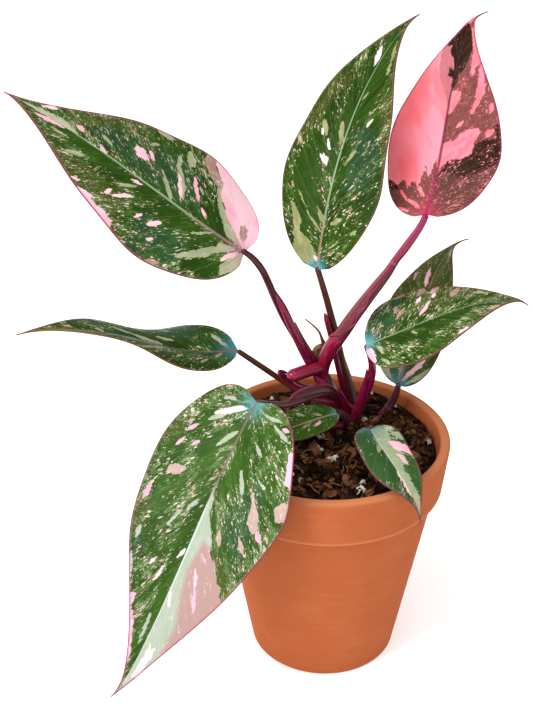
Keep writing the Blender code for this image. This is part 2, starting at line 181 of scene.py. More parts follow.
def turnProfile(shape, profile, sides):
    points = [shape.verts.new((radius * mm, 0, height * mm)) for radius, height in profile]
    edges = [shape.edges.new(pair) for pair in zip(points, points[1:])]
    bmesh.ops.spin(shape, geom=points + edges, cent=(0, 0, 0), axis=(0, 0, 1), angle=math.tau,
                   steps=sides, use_merge=True)
    bmesh.ops.remove_doubles(shape, verts=shape.verts, dist=0.01 * mm)
    bmesh.ops.recalc_face_normals(shape, faces=shape.faces)


def potInside(height):
    share = (height - pot["floor"]) / (pot["height"] - pot["rimRounding"] - pot["floor"])
    return pot["floorInside"] + (pot["rimRadius"] - pot["wall"] - pot["floorInside"]) * share


def claySkin():
    material, tree, shader = newMaterial("Terracotta, unglazed fired clay", 0.85, 1.15)
    place = addNode(tree, "ShaderNodeTexCoord").outputs["Object"]
    # millimetres around and upward: thin level smears, broad clouds, fine sandy grit
    textures = {}
    for name, (around, upward, detail) in dict(smear=(30, 3.0, 4), cloud=(34, 26, 3), grit=(0.9, 0.9, 2)).items():
        size = (1 / (around * mm), 1 / (around * mm), 1 / (upward * mm))
        spread = addNode(tree, "ShaderNodeMapping", {}, {"Vector": place, "Scale": size})
        textures[name] = addNode(tree, "ShaderNodeTexNoise", {}, {
            "Vector": spread.outputs[0], "Scale": 1.0, "Detail": detail, "Roughness": 0.6}).outputs["Fac"]
    skin = colour(pot["clay"])
    layers = [("cloud", 0.50, 0.72, pot["pale"], 0.16), ("cloud", 0.48, 0.28, pot["dark"], 0.16),
              ("smear", 0.52, 0.70, pot["pale"], 0.12), ("smear", 0.47, 0.30, pot["dark"], 0.10),
              ("grit", 0.58, 0.72, pot["pale"], 0.25)]
    for name, low, high, code, most in layers:
        mask = addNode(tree, "ShaderNodeMapRange", {}, {
            "Value": textures[name], "From Min": low, "From Max": high, "To Max": most})
        skin = addNode(tree, "ShaderNodeMix", {"data_type": "RGBA"}, {
            0: mask.outputs[0], 6: skin, 7: colour(code)}).outputs[2]
    # painted highlight: paler along the rim and the collar's edge; painted shade: darker inside the pot
    for name, code in (("paintedEdgeHighlight", pot["pale"]), ("damp", pot["inside"])):
        mask = addNode(tree, "ShaderNodeAttribute", {"attribute_name": name})
        skin = addNode(tree, "ShaderNodeMix", {"data_type": "RGBA"}, {
            0: mask.outputs["Fac"], 6: skin, 7: colour(code)}).outputs[2]
    tree.links.new(skin, shader.inputs["Base Color"])
    relief = addNode(tree, "ShaderNodeMath", {"operation": "MULTIPLY_ADD"}, {
        0: textures["smear"], 1: 0.5, 2: textures["grit"]})
    bump = addNode(tree, "ShaderNodeBump", {}, {"Height": relief.outputs[0], "Strength": 0.25, "Distance": 0.15 * mm})
    tree.links.new(bump.outputs[0], shader.inputs["Normal"])
    return material


def makePot():
    collarFoot = pot["height"] - pot["collarHeight"]
    shoulder = pot["height"] - pot["rimRounding"]
    outer = (pot["rimRadius"] - pot["rimRounding"], shoulder)
    inner = (pot["rimRadius"] - pot["wall"] + pot["rimRounding"], shoulder)
    foot = (pot["foot"] - pot["footRounding"], pot["footRounding"])
    profile = [(0, 0)] + runPoints((0, 0), (foot[0], 0), 6)
    profile += arcPoints(foot, pot["footRounding"], -90, 0, 4)[1:]
    profile += runPoints(profile[-1], (pot["bodyTop"] - 0.35, collarFoot - 1.0), 60)
    profile += [(pot["bodyTop"] + 0.1, collarFoot - 0.2), (pot["bodyTop"] + 0.8, collarFoot)]
    lip = (pot["collarFoot"] - 0.9, collarFoot + 0.9)
    profile += arcPoints(lip, 0.9, -90, 0, 4)
    profile += runPoints(profile[-1], (pot["rimRadius"], shoulder), 16)
    profile += arcPoints(outer, pot["rimRounding"], 0, 90, 6)[1:]
    profile += arcPoints(inner, pot["rimRounding"], 90, 180, 6)
    profile += runPoints(profile[-1], (pot["floorInside"], pot["floor"]), 30)
    profile += runPoints(profile[-1], (0, pot["floor"]), 4)
    shape = bmesh.new()
    turnProfile(shape, profile, pot["sides"])
    paintedEdgeHighlight = shape.verts.layers.float.new("paintedEdgeHighlight")
    damp = shape.verts.layers.float.new("damp")
    for vert in shape.verts:
        height = vert.co.z / mm
        radius = math.hypot(vert.co.x, vert.co.y) / mm
        outside = radius > potInside(height) + 2.5 and height > 1
        if outside and height < shoulder:   # the throwing leaves low rings, never quite round
            ring = noise.noise(Vector((vert.co.x / mm / 60, vert.co.y / mm / 60, height / pot["turningPitch"])))
            vert.co.x *= 1 + pot["turning"] * ring / radius
            vert.co.y *= 1 + pot["turning"] * ring / radius
        # the rim and the collar's edge get a painted highlight, and the inside below the rim gets painted shade
        edges = [abs(height - pot["height"]) / 2.0, abs(height - collarFoot - 0.8) / 1.3 + (radius < 60) * 9]
        vert[paintedEdgeHighlight] = 0.75 * max(0.0, 1 - min(edges))
        inside = not outside and height > 3
        vert[damp] = 0.3 * inside * (1 - ease(pot["height"] - 9, pot["height"] - 4, height))
    piece = addPiece("clayPot", shape, [claySkin()], "terracotta", "pot")
    for index in range(pot["drains"]):   # drain holes
        angle = math.tau * (index + 0.25) / pot["drains"]
        hole = bmesh.new()
        centre = Vector((math.cos(angle), math.sin(angle), 0)) * pot["drainCircle"] * mm
        bmesh.ops.create_cone(hole, cap_ends=True, segments=32, radius1=pot["drainRadius"] * mm,
                              radius2=pot["drainRadius"] * mm, depth=0.04, matrix=Matrix.Translation(centre))
        drill = bpy.data.objects.new("drill", bpy.data.meshes.new("drill"))
        hole.to_mesh(drill.data)
        hole.free()
        bpy.context.collection.objects.link(drill)
        cut = piece.modifiers.new("drain", "BOOLEAN")
        cut.operation = "DIFFERENCE"
        cut.solver = "EXACT"
        cut.object = drill
        graph = bpy.context.evaluated_depsgraph_get()
        piece.data = bpy.data.meshes.new_from_object(piece.evaluated_get(graph), depsgraph=graph)
        piece.modifiers.clear()
        bpy.data.objects.remove(drill)
    print("pot:", len(piece.data.polygons), "faces")


# The compost: crumbled bark and peat, nearly black, with split bark chips, white perlite and fibres

soil = dict(
    height=122.5, lumpSize=12.0, lumpReach=0.62, lumpHeight=3.5, swellLength=34.0, swellHeight=2.0,
    edgeWidth=6.0, rings=64, sides=150, crumb=1.4, clearance=0.3,
    bankHeight=3.4, peat="#150c07", peatPale="#5a3b26", bark="#3c2010", barkPale="#946543", barkDark="#0f0704",
    perlite="#ece2cf", fibre="#8a6242", chips=360, splinters=420, crumbs=1300, grains=44, fibres=60, seed=11)


def soilHeight(x, y):
    # rounded lumps of bark and compost on gently rolling ground, in millimetres
    distances, _ = noise.voronoi(Vector((x, y, 0)) / soil["lumpSize"])
    lump = max(0.0, 1.0 - (distances[0] / soil["lumpReach"]) ** 2)
    swell = noise.noise(Vector((x, y, 40)) / soil["swellLength"])
    bank = soil["bankHeight"] * ease(0, 50, y + 0.3 * x)   # heaped a little toward the back
    edge = min(1.0, (potInside(soil["height"]) - math.hypot(x, y)) / soil["edgeWidth"])
    return soil["height"] + soil["lumpHeight"] * lump * (1 + edge) / 2 + soil["swellHeight"] * swell + bank


def compostSkin(name, base, pale, dark, grain, roughness):
    # damp organic matter: a dull dark ground, paler dry flecks, blacker hollows, and each lump its own shade
    material, tree, shader = newMaterial(name, roughness, 1.15)
    place = addNode(tree, "ShaderNodeTexCoord").outputs["Object"]
    coarse = addNode(tree, "ShaderNodeTexNoise", {}, {
        "Vector": place, "Scale": 1 / (grain * 5 * mm), "Detail": 4, "Roughness": 0.65}).outputs["Fac"]
    fine = addNode(tree, "ShaderNodeTexNoise", {}, {
        "Vector": place, "Scale": 1 / (grain * mm), "Detail": 3, "Roughness": 0.7}).outputs["Fac"]
    skin = colour(base)
    for texture, low, high, code, most in ((coarse, 0.5, 0.68, pale, 0.75), (coarse, 0.48, 0.34, dark, 0.9),
                                           (fine, 0.56, 0.72, pale, 0.7)):
        mask = addNode(tree, "ShaderNodeMapRange", {}, {
            "Value": texture, "From Min": low, "From Max": high, "To Max": most})
        skin = addNode(tree, "ShaderNodeMix", {"data_type": "RGBA"}, {
            0: mask.outputs[0], 6: skin, 7: colour(code)}).outputs[2]
    shade = addNode(tree, "ShaderNodeAttribute", {"attribute_name": "shade"}).outputs["Fac"]
    for low, high, code, most in ((0.0, 1.2, pale, 0.8), (0.0, -1.2, dark, 0.9)):
        mask = addNode(tree, "ShaderNodeMapRange", {}, {
            "Value": shade, "From Min": low, "From Max": high, "To Max": most})
        skin = addNode(tree, "ShaderNodeMix", {"data_type": "RGBA"}, {
            0: mask.outputs[0], 6: skin, 7: colour(code)}).outputs[2]
    tree.links.new(skin, shader.inputs["Base Color"])
    bump = addNode(tree, "ShaderNodeBump", {}, {"Height": fine, "Strength": 0.9, "Distance": 0.6 * mm})
    tree.links.new(bump.outputs[0], shader.inputs["Normal"])
    return material


def soilSpot(random, margin):
    # an even random place on the soil, kept a margin inside the pot's wall
    radius = (potInside(soil["height"]) - margin) * math.sqrt(random.random())
    angle = math.tau * random.random()
    return radius * math.cos(angle), radius * math.sin(angle)


def scatterLumps(shape, random, count, sizes, form, rough, detail, sink, group=1):
    # broken lumps: low-faced forms squeezed, knocked about and pressed into the soil, singly or in groups
    shade = shape.verts.layers.float.get("shade") or shape.verts.layers.float.new("shade")
    for _ in range(count):
        width = random.uniform(*sizes)
        x, y = soilSpot(random, 1.5 + 0.5 * sizes[1])
        for _ in range(group):
            size = width * random.uniform(0.5, 1.0) if group > 1 else width
            nearX = x + (group - 1) * random.uniform(-0.13, 0.13) * width
            nearY = y + (group - 1) * random.uniform(-0.13, 0.13) * width
            stretch = [size * mm / 2 * random.uniform(*span) for span in form]
            turn = Euler([random.uniform(-0.7, 0.7), random.uniform(-0.7, 0.7), random.uniform(0, math.tau)])
            turn = turn.to_matrix()
            seed = Vector([random.uniform(-50, 50) for _ in range(3)])
            tone = random.gauss(-0.3, 0.8)
            lift = Vector((nearX, nearY, soilHeight(nearX, nearY))) * mm + Vector((0, 0, (0.5 - sink) * stretch[2]))
            made = bmesh.ops.create_icosphere(shape, subdivisions=detail, radius=1.0)["verts"]
            for vert in made:
                knock = 1 + rough * noise.noise(vert.co * 2.3 + seed)
                vert[shade] = tone
                vert.co = turn @ Vector(c * s * knock for c, s in zip(vert.co, stretch)) + lift


def makeSoil():
    top = potInside(soil["height"]) - soil["clearance"]
    low = pot["floor"] + soil["clearance"]
    profile = [(0, low)] + runPoints((0, low), (pot["floorInside"] - soil["clearance"], low), 4)
    profile += runPoints(profile[-1], (top, soil["height"]), 10)
    profile += runPoints(profile[-1], (0, soil["height"]), soil["rings"])
    shape = bmesh.new()
    turnProfile(shape, profile, soil["sides"])
    for vert in shape.verts:
        x, y, z = vert.co / mm
        if z > soil["height"] - 0.1 and math.hypot(x, y) < top - 0.1:
            crumb = noise.fractal(Vector((x, y, 5)) / soil["crumb"] / 2, 0.8, 2.0, 3)
            vert.co.z = (soilHeight(x, y) + 1.2 * crumb) * mm
    peat = compostSkin("Peat, damp and crumbled", soil["peat"], soil["peatPale"], "#0b0604", 0.6, 0.95)
    addPiece("compostBed", shape, [peat], "potting_soil", "soil")

    draw = random.Random(soil["seed"])
    bark = compostSkin("Bark chips, composted", soil["bark"], soil["barkPale"], soil["barkDark"], 0.8, 0.85)
    white = compostSkin("Perlite, expanded glass", soil["perlite"], "#fffaf0", "#b09878", 0.5, 0.85)
    crumbs = ("compostCrumbs", peat, [(soil["crumbs"], (1.0, 3.4), ((0.8, 1.3), (0.5, 1.0), (0.4, 0.9)), 0.9, 1, 0.2)])
    chips = ("barkChips", bark, [
        (soil["chips"], (3.5, 9.5), ((0.9, 1.3), (0.4, 0.9), (0.3, 0.6)), 1.1, 2, 0.1),
        (soil["splinters"], (2.2, 5.5), ((1.0, 1.6), (0.2, 0.5), (0.2, 0.4)), 0.9, 1, -0.6)])
    grains = ("perliteGrains", white, [
        (soil["grains"], (2.0, 4.4), ((0.8, 1.2), (0.6, 1.0), (0.5, 0.9)), 0.9, 2, -0.6, 4)])
    for name, material, kinds in (crumbs, chips, grains):
        shape = bmesh.new()
        for kind in kinds:
            scatterLumps(shape, draw, *kind)
        piece = addPiece(name, shape, [material], "potting_soil", "soil")
        piece.data.shade_flat()   # split surfaces, not worn ones

    shape = bmesh.new()
    for _ in range(soil["fibres"]):   # thin roots and threads of coir that lie over the chips
        x, y = soilSpot(draw, 14)
        heading = draw.uniform(0, math.tau)
        route = []
        for index in range(4):
            route.append((x, y, soilHeight(x, y) + 2.6 - 0.9 * abs(index - 1.5), draw.uniform(0.16, 0.42)))
            heading += draw.uniform(-0.7, 0.7)
            x += 3.2 * math.cos(heading)
            y += 3.2 * math.sin(heading)
        addStrand(shape, dict(route=route), 6, 1.0)
    bmesh.ops.recalc_face_normals(shape, faces=shape.faces)
    thread = compostSkin("Coir threads, dry", soil["fibre"], "#c09a70", "#4a2e1c", 0.6, 0.8)
    addPiece("coirThreads", shape, [thread], "potting_soil", "soil")
    print("soil: bed, crumbs, bark, perlite, threads")


# Stalks and stem: smooth glossy skin over a firm core, crimson where young, browner toward the blades.
# Each is a bundle of strands: the core, and the strips of sheath that clasp it

stalkSkins = dict(
    maroon=dict(stops=((0, "#640a20"), (0.55, "#500a16"), (1, "#40090f")), pale="#742634", dark="#1c050a",
                roughness=0.3),
    crimson=dict(stops=((0, "#820b33"), (0.6, "#7e0d36"), (1, "#6c102e")), pale="#bb4668", dark="#38051a",
                 roughness=0.24),
    ruby=dict(stops=((0, "#660524"), (0.6, "#7c082c"), (1, "#8e0e34")), pale="#c44464", dark="#380416",
              roughness=0.22),
    rose=dict(stops=((0, "#70242e"), (0.56, "#621c2a"), (0.64, "#780c36"), (1, "#8c0e42")), pale="#a8606e",
              dark="#300814", roughness=0.24),
    brown=dict(stops=((0, "#6a2c22"), (0.6, "#5c2a1c"), (1, "#4e2414")), pale="#8c5e4c", dark="#24100a",
               roughness=0.36),
    grey=dict(stops=((0, "#7e5660"), (1, "#94807c")), pale="#beb0ac", dark="#4c3438", roughness=0.34),
    wine=dict(stops=((0, "#54101e"), (0.4, "#5c2630"), (1, "#4e2c32")), pale="#8f5662", dark="#200a10",
              roughness=0.32),
    plum=dict(stops=((0, "#60203a"), (0.42, "#803850"), (0.5, "#582636"), (1, "#5a2e3c")), pale="#a86c84",
              dark="#240812", roughness=0.3),
    magenta=dict(stops=((0, "#780e36"), (0.6, "#8c1040"), (1, "#740c2c")), pale="#c23a6c", dark="#320618",
                 roughness=0.24),
    dry=dict(stops=((0, "#4a2416"), (0.5, "#6b4028"), (1, "#8b6244")), pale="#b08d68", dark="#2c170e",
             roughness=0.85))


def stalkSkin(name, look):
    # a waxy epidermis over red sap: clear gloss, lengthwise streaks, paler edges and rings, a painted highlight on the
    # side toward the light and painted shade, deeper red, on the other
    glossy = look["roughness"] < 0.5
    material, tree, shader = newMaterial(name, look["roughness"], 1.33 if glossy else 1.15, 0.2 * glossy)
    marks = {part: addNode(tree, "ShaderNodeAttribute", {"attribute_name": part}).outputs["Fac"]
             for part in ("along", "edge", "lit")}
    straight = addNode(tree, "ShaderNodeAttribute", {"attribute_name": "straight"}).outputs["Vector"]
    for part, (across, length, detail) in dict(streak=(1.0, 20, 3), blotch=(2.2, 9, 2)).items():
        spread = addNode(tree, "ShaderNodeMapping", {}, {
            "Vector": straight, "Scale": (1 / across, 1 / across, 1 / length)})
        marks[part] = addNode(tree, "ShaderNodeTexNoise", {}, {
            "Vector": spread.outputs[0], "Scale": 1.0, "Detail": detail, "Roughness": 0.6}).outputs["Fac"]
    ramp = addNode(tree, "ShaderNodeValToRGB", {}, {"Fac": marks["along"]})
    stops = ramp.color_ramp.elements
    for share, code in look["stops"][1:-1]:
        stops.new(share).color = colour(code)
    stops[0].color = colour(look["stops"][0][1])
    stops[-1].color = colour(look["stops"][-1][1])
    skin = ramp.outputs["Color"]
    for part, low, high, code, most in (("blotch", 0.54, 0.7, look["pale"], 0.25),
                                        ("streak", 0.46, 0.30, look["dark"], 0.45),
                                        ("streak", 0.56, 0.72, look["pale"], 0.3),
                                        # painted shade, deeper red, on the side away from the light; painted highlight,
                                        # paler, where it faces the light
                                        ("lit", 0.4, -0.55, look["dark"], 0.85),
                                        ("lit", 0.82, 0.99, look["pale"], 0.6),
                                        ("edge", 0.0, 1.0, look["pale"], 0.6)):
        mask = addNode(tree, "ShaderNodeMapRange", {}, {
            "Value": marks[part], "From Min": low, "From Max": high, "To Max": most})
        skin = addNode(tree, "ShaderNodeMix", {"data_type": "RGBA"}, {
            0: mask.outputs[0], 6: skin, 7: colour(code)}).outputs[2]
    tree.links.new(skin, shader.inputs["Base Color"])
    bump = addNode(tree, "ShaderNodeBump", {}, {
        "Height": marks["streak"], "Strength": 0.2, "Distance": 0.3 * mm})
    tree.links.new(bump.outputs[0], shader.inputs["Normal"])
    return material


# Each strand: its skin and its route as (x, y, z, radius). A flat one is thin from front to back, ribs are
# low ridges along it, and rings are the shares of its length where an old sheath left a mark
stalks = {
    "pink": [
        dict(skin="ruby", ribs=0.08, route=[
            (-0.6, 21, 149.5, 3.0), (-2.0, 20, 156, 3.2), (-2.3, 19.4, 161.6, 3.6), (-1.1, 18.5, 167.5, 3.8),
            (1.4, 17.2, 174.4, 3.9), (5.2, 16.2, 181.2, 3.9), (8.4, 15.6, 185.2, 2.6)]),
        dict(skin="rose", ribs=0.12, rings=(0.655,), route=[
            (3.0, 16.6, 176.5, 3.5), (8.3, 15.4, 186.8, 3.8), (13.3, 14.6, 196.1, 3.3), (18.8, 13.8, 205.4, 3.0),
            (24.3, 13.0, 213.8, 2.8), (29.1, 12.3, 221.3, 2.4), (32.6, 11.8, 227.9, 2.0), (36.7, 11.0, 234.6, 2.1),
            (40.6, 10.6, 241.1, 2.0), (44, 10.2, 247.4, 1.8), (46.4, 9.6, 253.8, 1.7)]),
        dict(skin="maroon", flat=0.5, ribs=0.1, route=[
            (8.6, 14.2, 183.5, 0.5), (10.6, 13.4, 188.4, 1.8), (15.0, 12.6, 196.7, 1.9), (20.4, 11.9, 205.9, 1.8),
            (25.7, 11.2, 214.3, 1.6), (30.3, 10.8, 221.8, 1.2), (34, 10.6, 228.6, 0.4)]),
        dict(skin="crimson", route=[
            (0.2, 13.8, 182.4, 0.3), (1.8, 13.2, 184.3, 0.55), (6.2, 12.5, 185.1, 0.55), (10.1, 12, 188.5, 0.55),
            (13.6, 11.4, 192.4, 0.55), (14.7, 11.2, 196.9, 0.55), (18.4, 10.6, 202.9, 0.55), (20.5, 10.2, 208.6, 0.5),
            (24.7, 9.6, 215.8, 0.4), (28.6, 9.4, 222.2, 0.35), (30.6, 9.4, 226.3, 0.25)])],
    "upper_left": [
        dict(skin="maroon", ribs=0.06, route=[
            (-4, 21, 157.3, 1.4), (-9.8, 20, 164.5, 1.7), (-14.0, 17, 174.5, 1.8), (-18.9, 13.2, 186, 1.8),
            (-23.9, 9.6, 197.5, 1.8), (-27.8, 6.2, 208.6, 1.9), (-31.2, 2.9, 219.2, 1.9), (-34.6, -0.8, 228.6, 1.8),
            (-38.9, -3, 235.6, 1.6), (-42.9, -4.8, 239.9, 1.4), (-44.6, -5.4, 241.2, 1.2)]),
        dict(skin="crimson", flat=0.75, ribs=0.12, route=[
            (-28.2, 4.3, 214.6, 0.5), (-27.0, 5.0, 210.7, 1.4), (-23.7, 7.0, 203.0, 1.9), (-20.0, 9.5, 192.9, 2.1),
            (-16.3, 12.5, 182.3, 2.15), (-12.5, 15.5, 172.3, 2.2), (-9.0, 18.3, 164.0, 2.2), (-5.6, 20.0, 158.2, 1.9)]),
        dict(skin="crimson", ribs=0.1, route=[
            (-17.8, 12.4, 193.0, 0.2), (-16.0, 14.0, 186.8, 1.0), (-12.8, 16.5, 178.6, 1.3), (-9.0, 19.0, 169.9, 1.6),
            (-6.2, 21.0, 163.0, 1.5)])],
    "narrow_left": [
        dict(skin="brown", ribs=0.06, route=[
            (2.6, 22, 143.6, 1.6), (-3.3, 24, 142.4, 1.6), (-10.3, 24, 143.4, 1.5), (-16.2, 23.6, 145.3, 1.6),
            (-22.4, 22, 150.9, 1.6), (-31.6, 19.6, 159.4, 1.6), (-40.3, 17.2, 167.4, 1.5), (-47.6, 14.9, 174.3, 1.4)]),
        dict(skin="crimson", flat=0.45, ribs=0.15, route=[
            (-26.6, 19.3, 159.2, 0.4), (-24.7, 19.5, 157.6, 1.7), (-22.0, 20.5, 153.8, 1.9), (-18.5, 21.5, 149.3, 1.9),
            (-15.0, 22.0, 147.0, 1.6), (-10.9, 22.5, 146.5, 1.4), (-8.1, 23.0, 145.4, 1.0)]),
        dict(skin="wine", route=[
            (-26.4, 18.6, 160.3, 0.3), (-23.4, 18.8, 159.7, 0.6), (-20.0, 19.4, 156.9, 0.6), (-16.4, 20.4, 152.4, 0.7),
            (-12.6, 21.4, 149.6, 0.6), (-8, 22, 148.6, 0.4)])],
    "lower_left": [
        dict(skin="wine", flat=0.8, ribs=0.1, route=[
            (4.6, 21, 141.6, 1.6), (1.4, 16.5, 146.3, 1.8), (-3.0, 12.4, 149.6, 1.8), (-8.5, 7, 151.3, 1.9),
            (-14.1, 0, 152.9, 1.9), (-19.6, -7.0, 155.1, 1.9), (-25.1, -14.5, 158.7, 1.8), (-31.0, -23.0, 164.3, 1.7),
            (-37.2, -29.6, 169.4, 1.4)]),
        dict(skin="wine", flat=0.45, ribs=0.05, route=[
            (6.4, 21.6, 138.4, 1.9), (5.2, 18.4, 144.8, 2.5), (1.9, 14.8, 150.2, 2.7), (-2.9, 11.0, 153.6, 2.8),
            (-8.5, 6.4, 155.2, 2.7), (-14.0, 1.6, 156.0, 2.4), (-17.9, -2.2, 156.5, 1.6), (-20.6, -5, 156.2, 0.3)]),
        dict(skin="crimson", route=[
            (6.0, 17.6, 147.6, 0.3), (2.4, 13.4, 153.2, 0.45), (-2.8, 9.2, 156.8, 0.45), (-8.5, 4.6, 158.4, 0.45),
            (-14, 0, 158.6, 0.45), (-18.4, -4.0, 158.0, 0.45), (-20.8, -6.2, 156.6, 0.25)])],
    "top": [
        dict(skin="brown", ribs=0.1, rings=(0.16,), route=[
            (17.5, 38.5, 100, 2.6), (16.4, 38.4, 113.8, 2.6), (14.2, 36.8, 129.8, 2.4), (11.3, 33.4, 146.4, 2.2),
            (8.3, 30.4, 160.4, 2.1), (4.4, 26.8, 178.2, 2.0), (1.4, 24.6, 190.4, 1.9), (-1.0, 23, 200.3, 1.8),
            (-4.2, 20.7, 212.0, 1.6), (-6.6, 19.2, 220.6, 1.5)]),
        dict(skin="crimson", ribs=0.12, route=[
            (-2.1, 21.6, 193.4, 0.3), (-0.9, 22.2, 189.1, 1.4), (0.8, 23.5, 182.5, 1.6), (3.2, 25.5, 172.2, 1.6),
            (5.4, 27.7, 161.5, 1.6), (7.7, 30.2, 150.8, 1.7), (10.3, 33.2, 139.3, 1.9), (13.2, 36, 127.6, 2.0)]),
        dict(skin="grey", ribs=0.08, rings=(0.45,), route=[
            (7.6, 30.0, 168.2, 0.3), (11.2, 32.2, 154.1, 1.2), (13.9, 34.6, 143.8, 1.6), (16.1, 37.2, 133.3, 1.7),
            (17.4, 38.2, 122.9, 1.6)])],
    "right": [
        dict(skin="magenta", ribs=0.14, rings=(0.27,), route=[
            (13.4, 26.3, 120.5, 2.4), (16.7, 25.5, 122.5, 2.7), (17.9, 23.5, 131.1, 2.8), (19.4, 20.5, 139.4, 2.8),
            (21.2, 17, 148.7, 2.6), (22.8, 13.5, 157.9, 2.3), (23.2, 10, 166.9, 2.0), (21.6, 7, 175.2, 1.6),
            (19.0, 5.1, 183.2, 1.4)]),
        dict(skin="magenta", flat=0.7, ribs=0.2, route=[
            (20.3, 9.6, 166.4, 0.3), (20.6, 11.0, 159.8, 1.4), (19.8, 13.8, 152.9, 1.9), (18.6, 17.0, 144.0, 2.3),
            (17.2, 20.0, 134.9, 2.5), (15.8, 22.5, 127.8, 2.5), (14.6, 24.4, 120.6, 2.0)])],
    "right_back": [
        dict(skin="plum", ribs=0.08, rings=(0.56,), route=[
            (22.8, 31.4, 113.6, 1.4), (28.9, 31.2, 120.4, 2.6), (32.2, 31.0, 124.9, 2.7), (35.1, 30.6, 130.1, 2.4),
            (37.4, 30.2, 135.2, 2.1), (38.9, 29.8, 139.8, 1.8), (40.0, 29.0, 146.4, 1.5)]),
        dict(skin="maroon", flat=0.6, ribs=0.2, route=[
            (20.4, 28.6, 121.4, 0.4), (24.0, 28.8, 122.6, 1.5), (28, 29.2, 122.4, 1.8), (32, 30.4, 123.0, 1.6)])],
    "small_centre": [
        dict(skin="wine", route=[
            (15, 19, 106, 1.3), (13.8, 19, 120.5, 1.3), (10.2, 15, 130.8, 1.2), (6.1, 10.2, 138.4, 1.1)])],
    "small_front": [
        dict(skin="wine", route=[
            (19, 20, 106, 1.5), (19, 18.5, 118.9, 1.5), (19.1, 9, 128.1, 1.4), (20.2, -2, 136.7, 1.3),
            (21.4, -12, 143.6, 1.3), (21.4, -16.5, 145.8, 1.2)])],
}

# The main stem, its blunt side shoot, and the small scales round its foot
stem = [
    dict(skin="maroon", ribs=0.12, rings=(0.3, 0.55, 0.8), route=[
        (14, 27, 98, 3.6), (13.4, 26.3, 121, 4.0), (8.0, 24.3, 132.6, 4.3), (3.4, 21.5, 143.4, 4.2),
        (-0.2, 20, 153, 3.6), (-1.2, 20, 158, 2.0)]),
    dict(skin="ruby", ribs=0.04, blunt=1.1, route=[
        (-0.5, 21, 160, 2.6), (-4.4, 17.6, 162.4, 3.2), (-8.4, 15.2, 162.7, 3.4), (-12.4, 13, 162.7, 3.6),
        (-16.4, 10.6, 162.4, 3.6), (-21.4, 7.8, 162.2, 3.6)]),
    dict(skin="crimson", ribs=0.12, route=[
        (-7.4, 17.4, 158.6, 1.0), (-3.8, 16.6, 154.6, 2.2), (0.4, 17.4, 150.6, 2.4), (4.4, 19.8, 145.4, 2.0)]),
    dict(skin="crimson", flat=0.5, ribs=0.15, route=[
        (-10.4, 8.0, 149.2, 0.3), (-5.7, 11.0, 146.8, 1.5), (-1.4, 14.0, 144.0, 1.9), (2.9, 17.5, 140.5, 2.0),
        (8.3, 21.5, 134.9, 1.8)]),
    dict(skin="ruby", flat=0.5, ribs=0.15, route=[
        (5.9, 18.4, 149.6, 0.3), (7.4, 19.4, 144.6, 1.5), (9.5, 21.0, 139.7, 1.9), (11.5, 22.5, 134.7, 2.0),
        (13.2, 24.5, 127.9, 1.8)]),
    dict(skin="wine", flat=0.5, ribs=0.1, route=[
        (4.2, 16.6, 137.4, 0.3), (7.2, 17.8, 134.5, 1.8), (10.9, 19.6, 130.8, 2.2), (15.3, 22.8, 125.8, 2.2)]),
    dict(skin="crimson", flat=0.5, ribs=0.15, route=[
        (-2.5, 12.6, 127.0, 0.3), (1.7, 14.2, 127.7, 1.6), (6.7, 16.2, 127.3, 2.0), (11.7, 19.0, 125.3, 2.2),
        (16.2, 22.0, 121.6, 2.0)]),
    dict(skin="magenta", flat=0.5, route=[
        (11.0, 16.6, 142.4, 0.2), (13.4, 17.2, 139.0, 0.7), (17.0, 18.6, 135.2, 0.8), (19.6, 20.6, 131.6, 0.5)])]
drySheath = [
    dict(skin="dry", ribs=0.3, route=[
        (-1.6, 22.5, 156, 1.6), (-3.8, 25.0, 162.5, 3.2), (-4.6, 25.6, 167.9, 3.2), (-1.9, 25, 172.2, 1.5),
        (-2.9, 24.6, 176.2, 0.8), (-4.3, 24.2, 180.2, 0.6), (-6.9, 23.7, 183.8, 0.5), (-12.2, 22.9, 189.2, 0.3)])]


def smoothLine(knots, stride):
    # close steps along a smooth curve through the knots
    knots = [Vector(knot) for knot in knots]
    padded = [2 * knots[0] - knots[1]] + knots + [2 * knots[-1] - knots[-2]]
    line = []
    for before, low, high, after in zip(padded, padded[1:], padded[2:], padded[3:]):
        steps = max(2, round((high - low).to_3d().length / stride))
        for share in (step / steps for step in range(steps)):
            line.append(0.5 * (2 * low + (high - before) * share
                               + (2 * before - 5 * low + 4 * high - after) * share ** 2
                               + (3 * low - before - 3 * high + after) * share ** 3))
    return line + [knots[-1]]


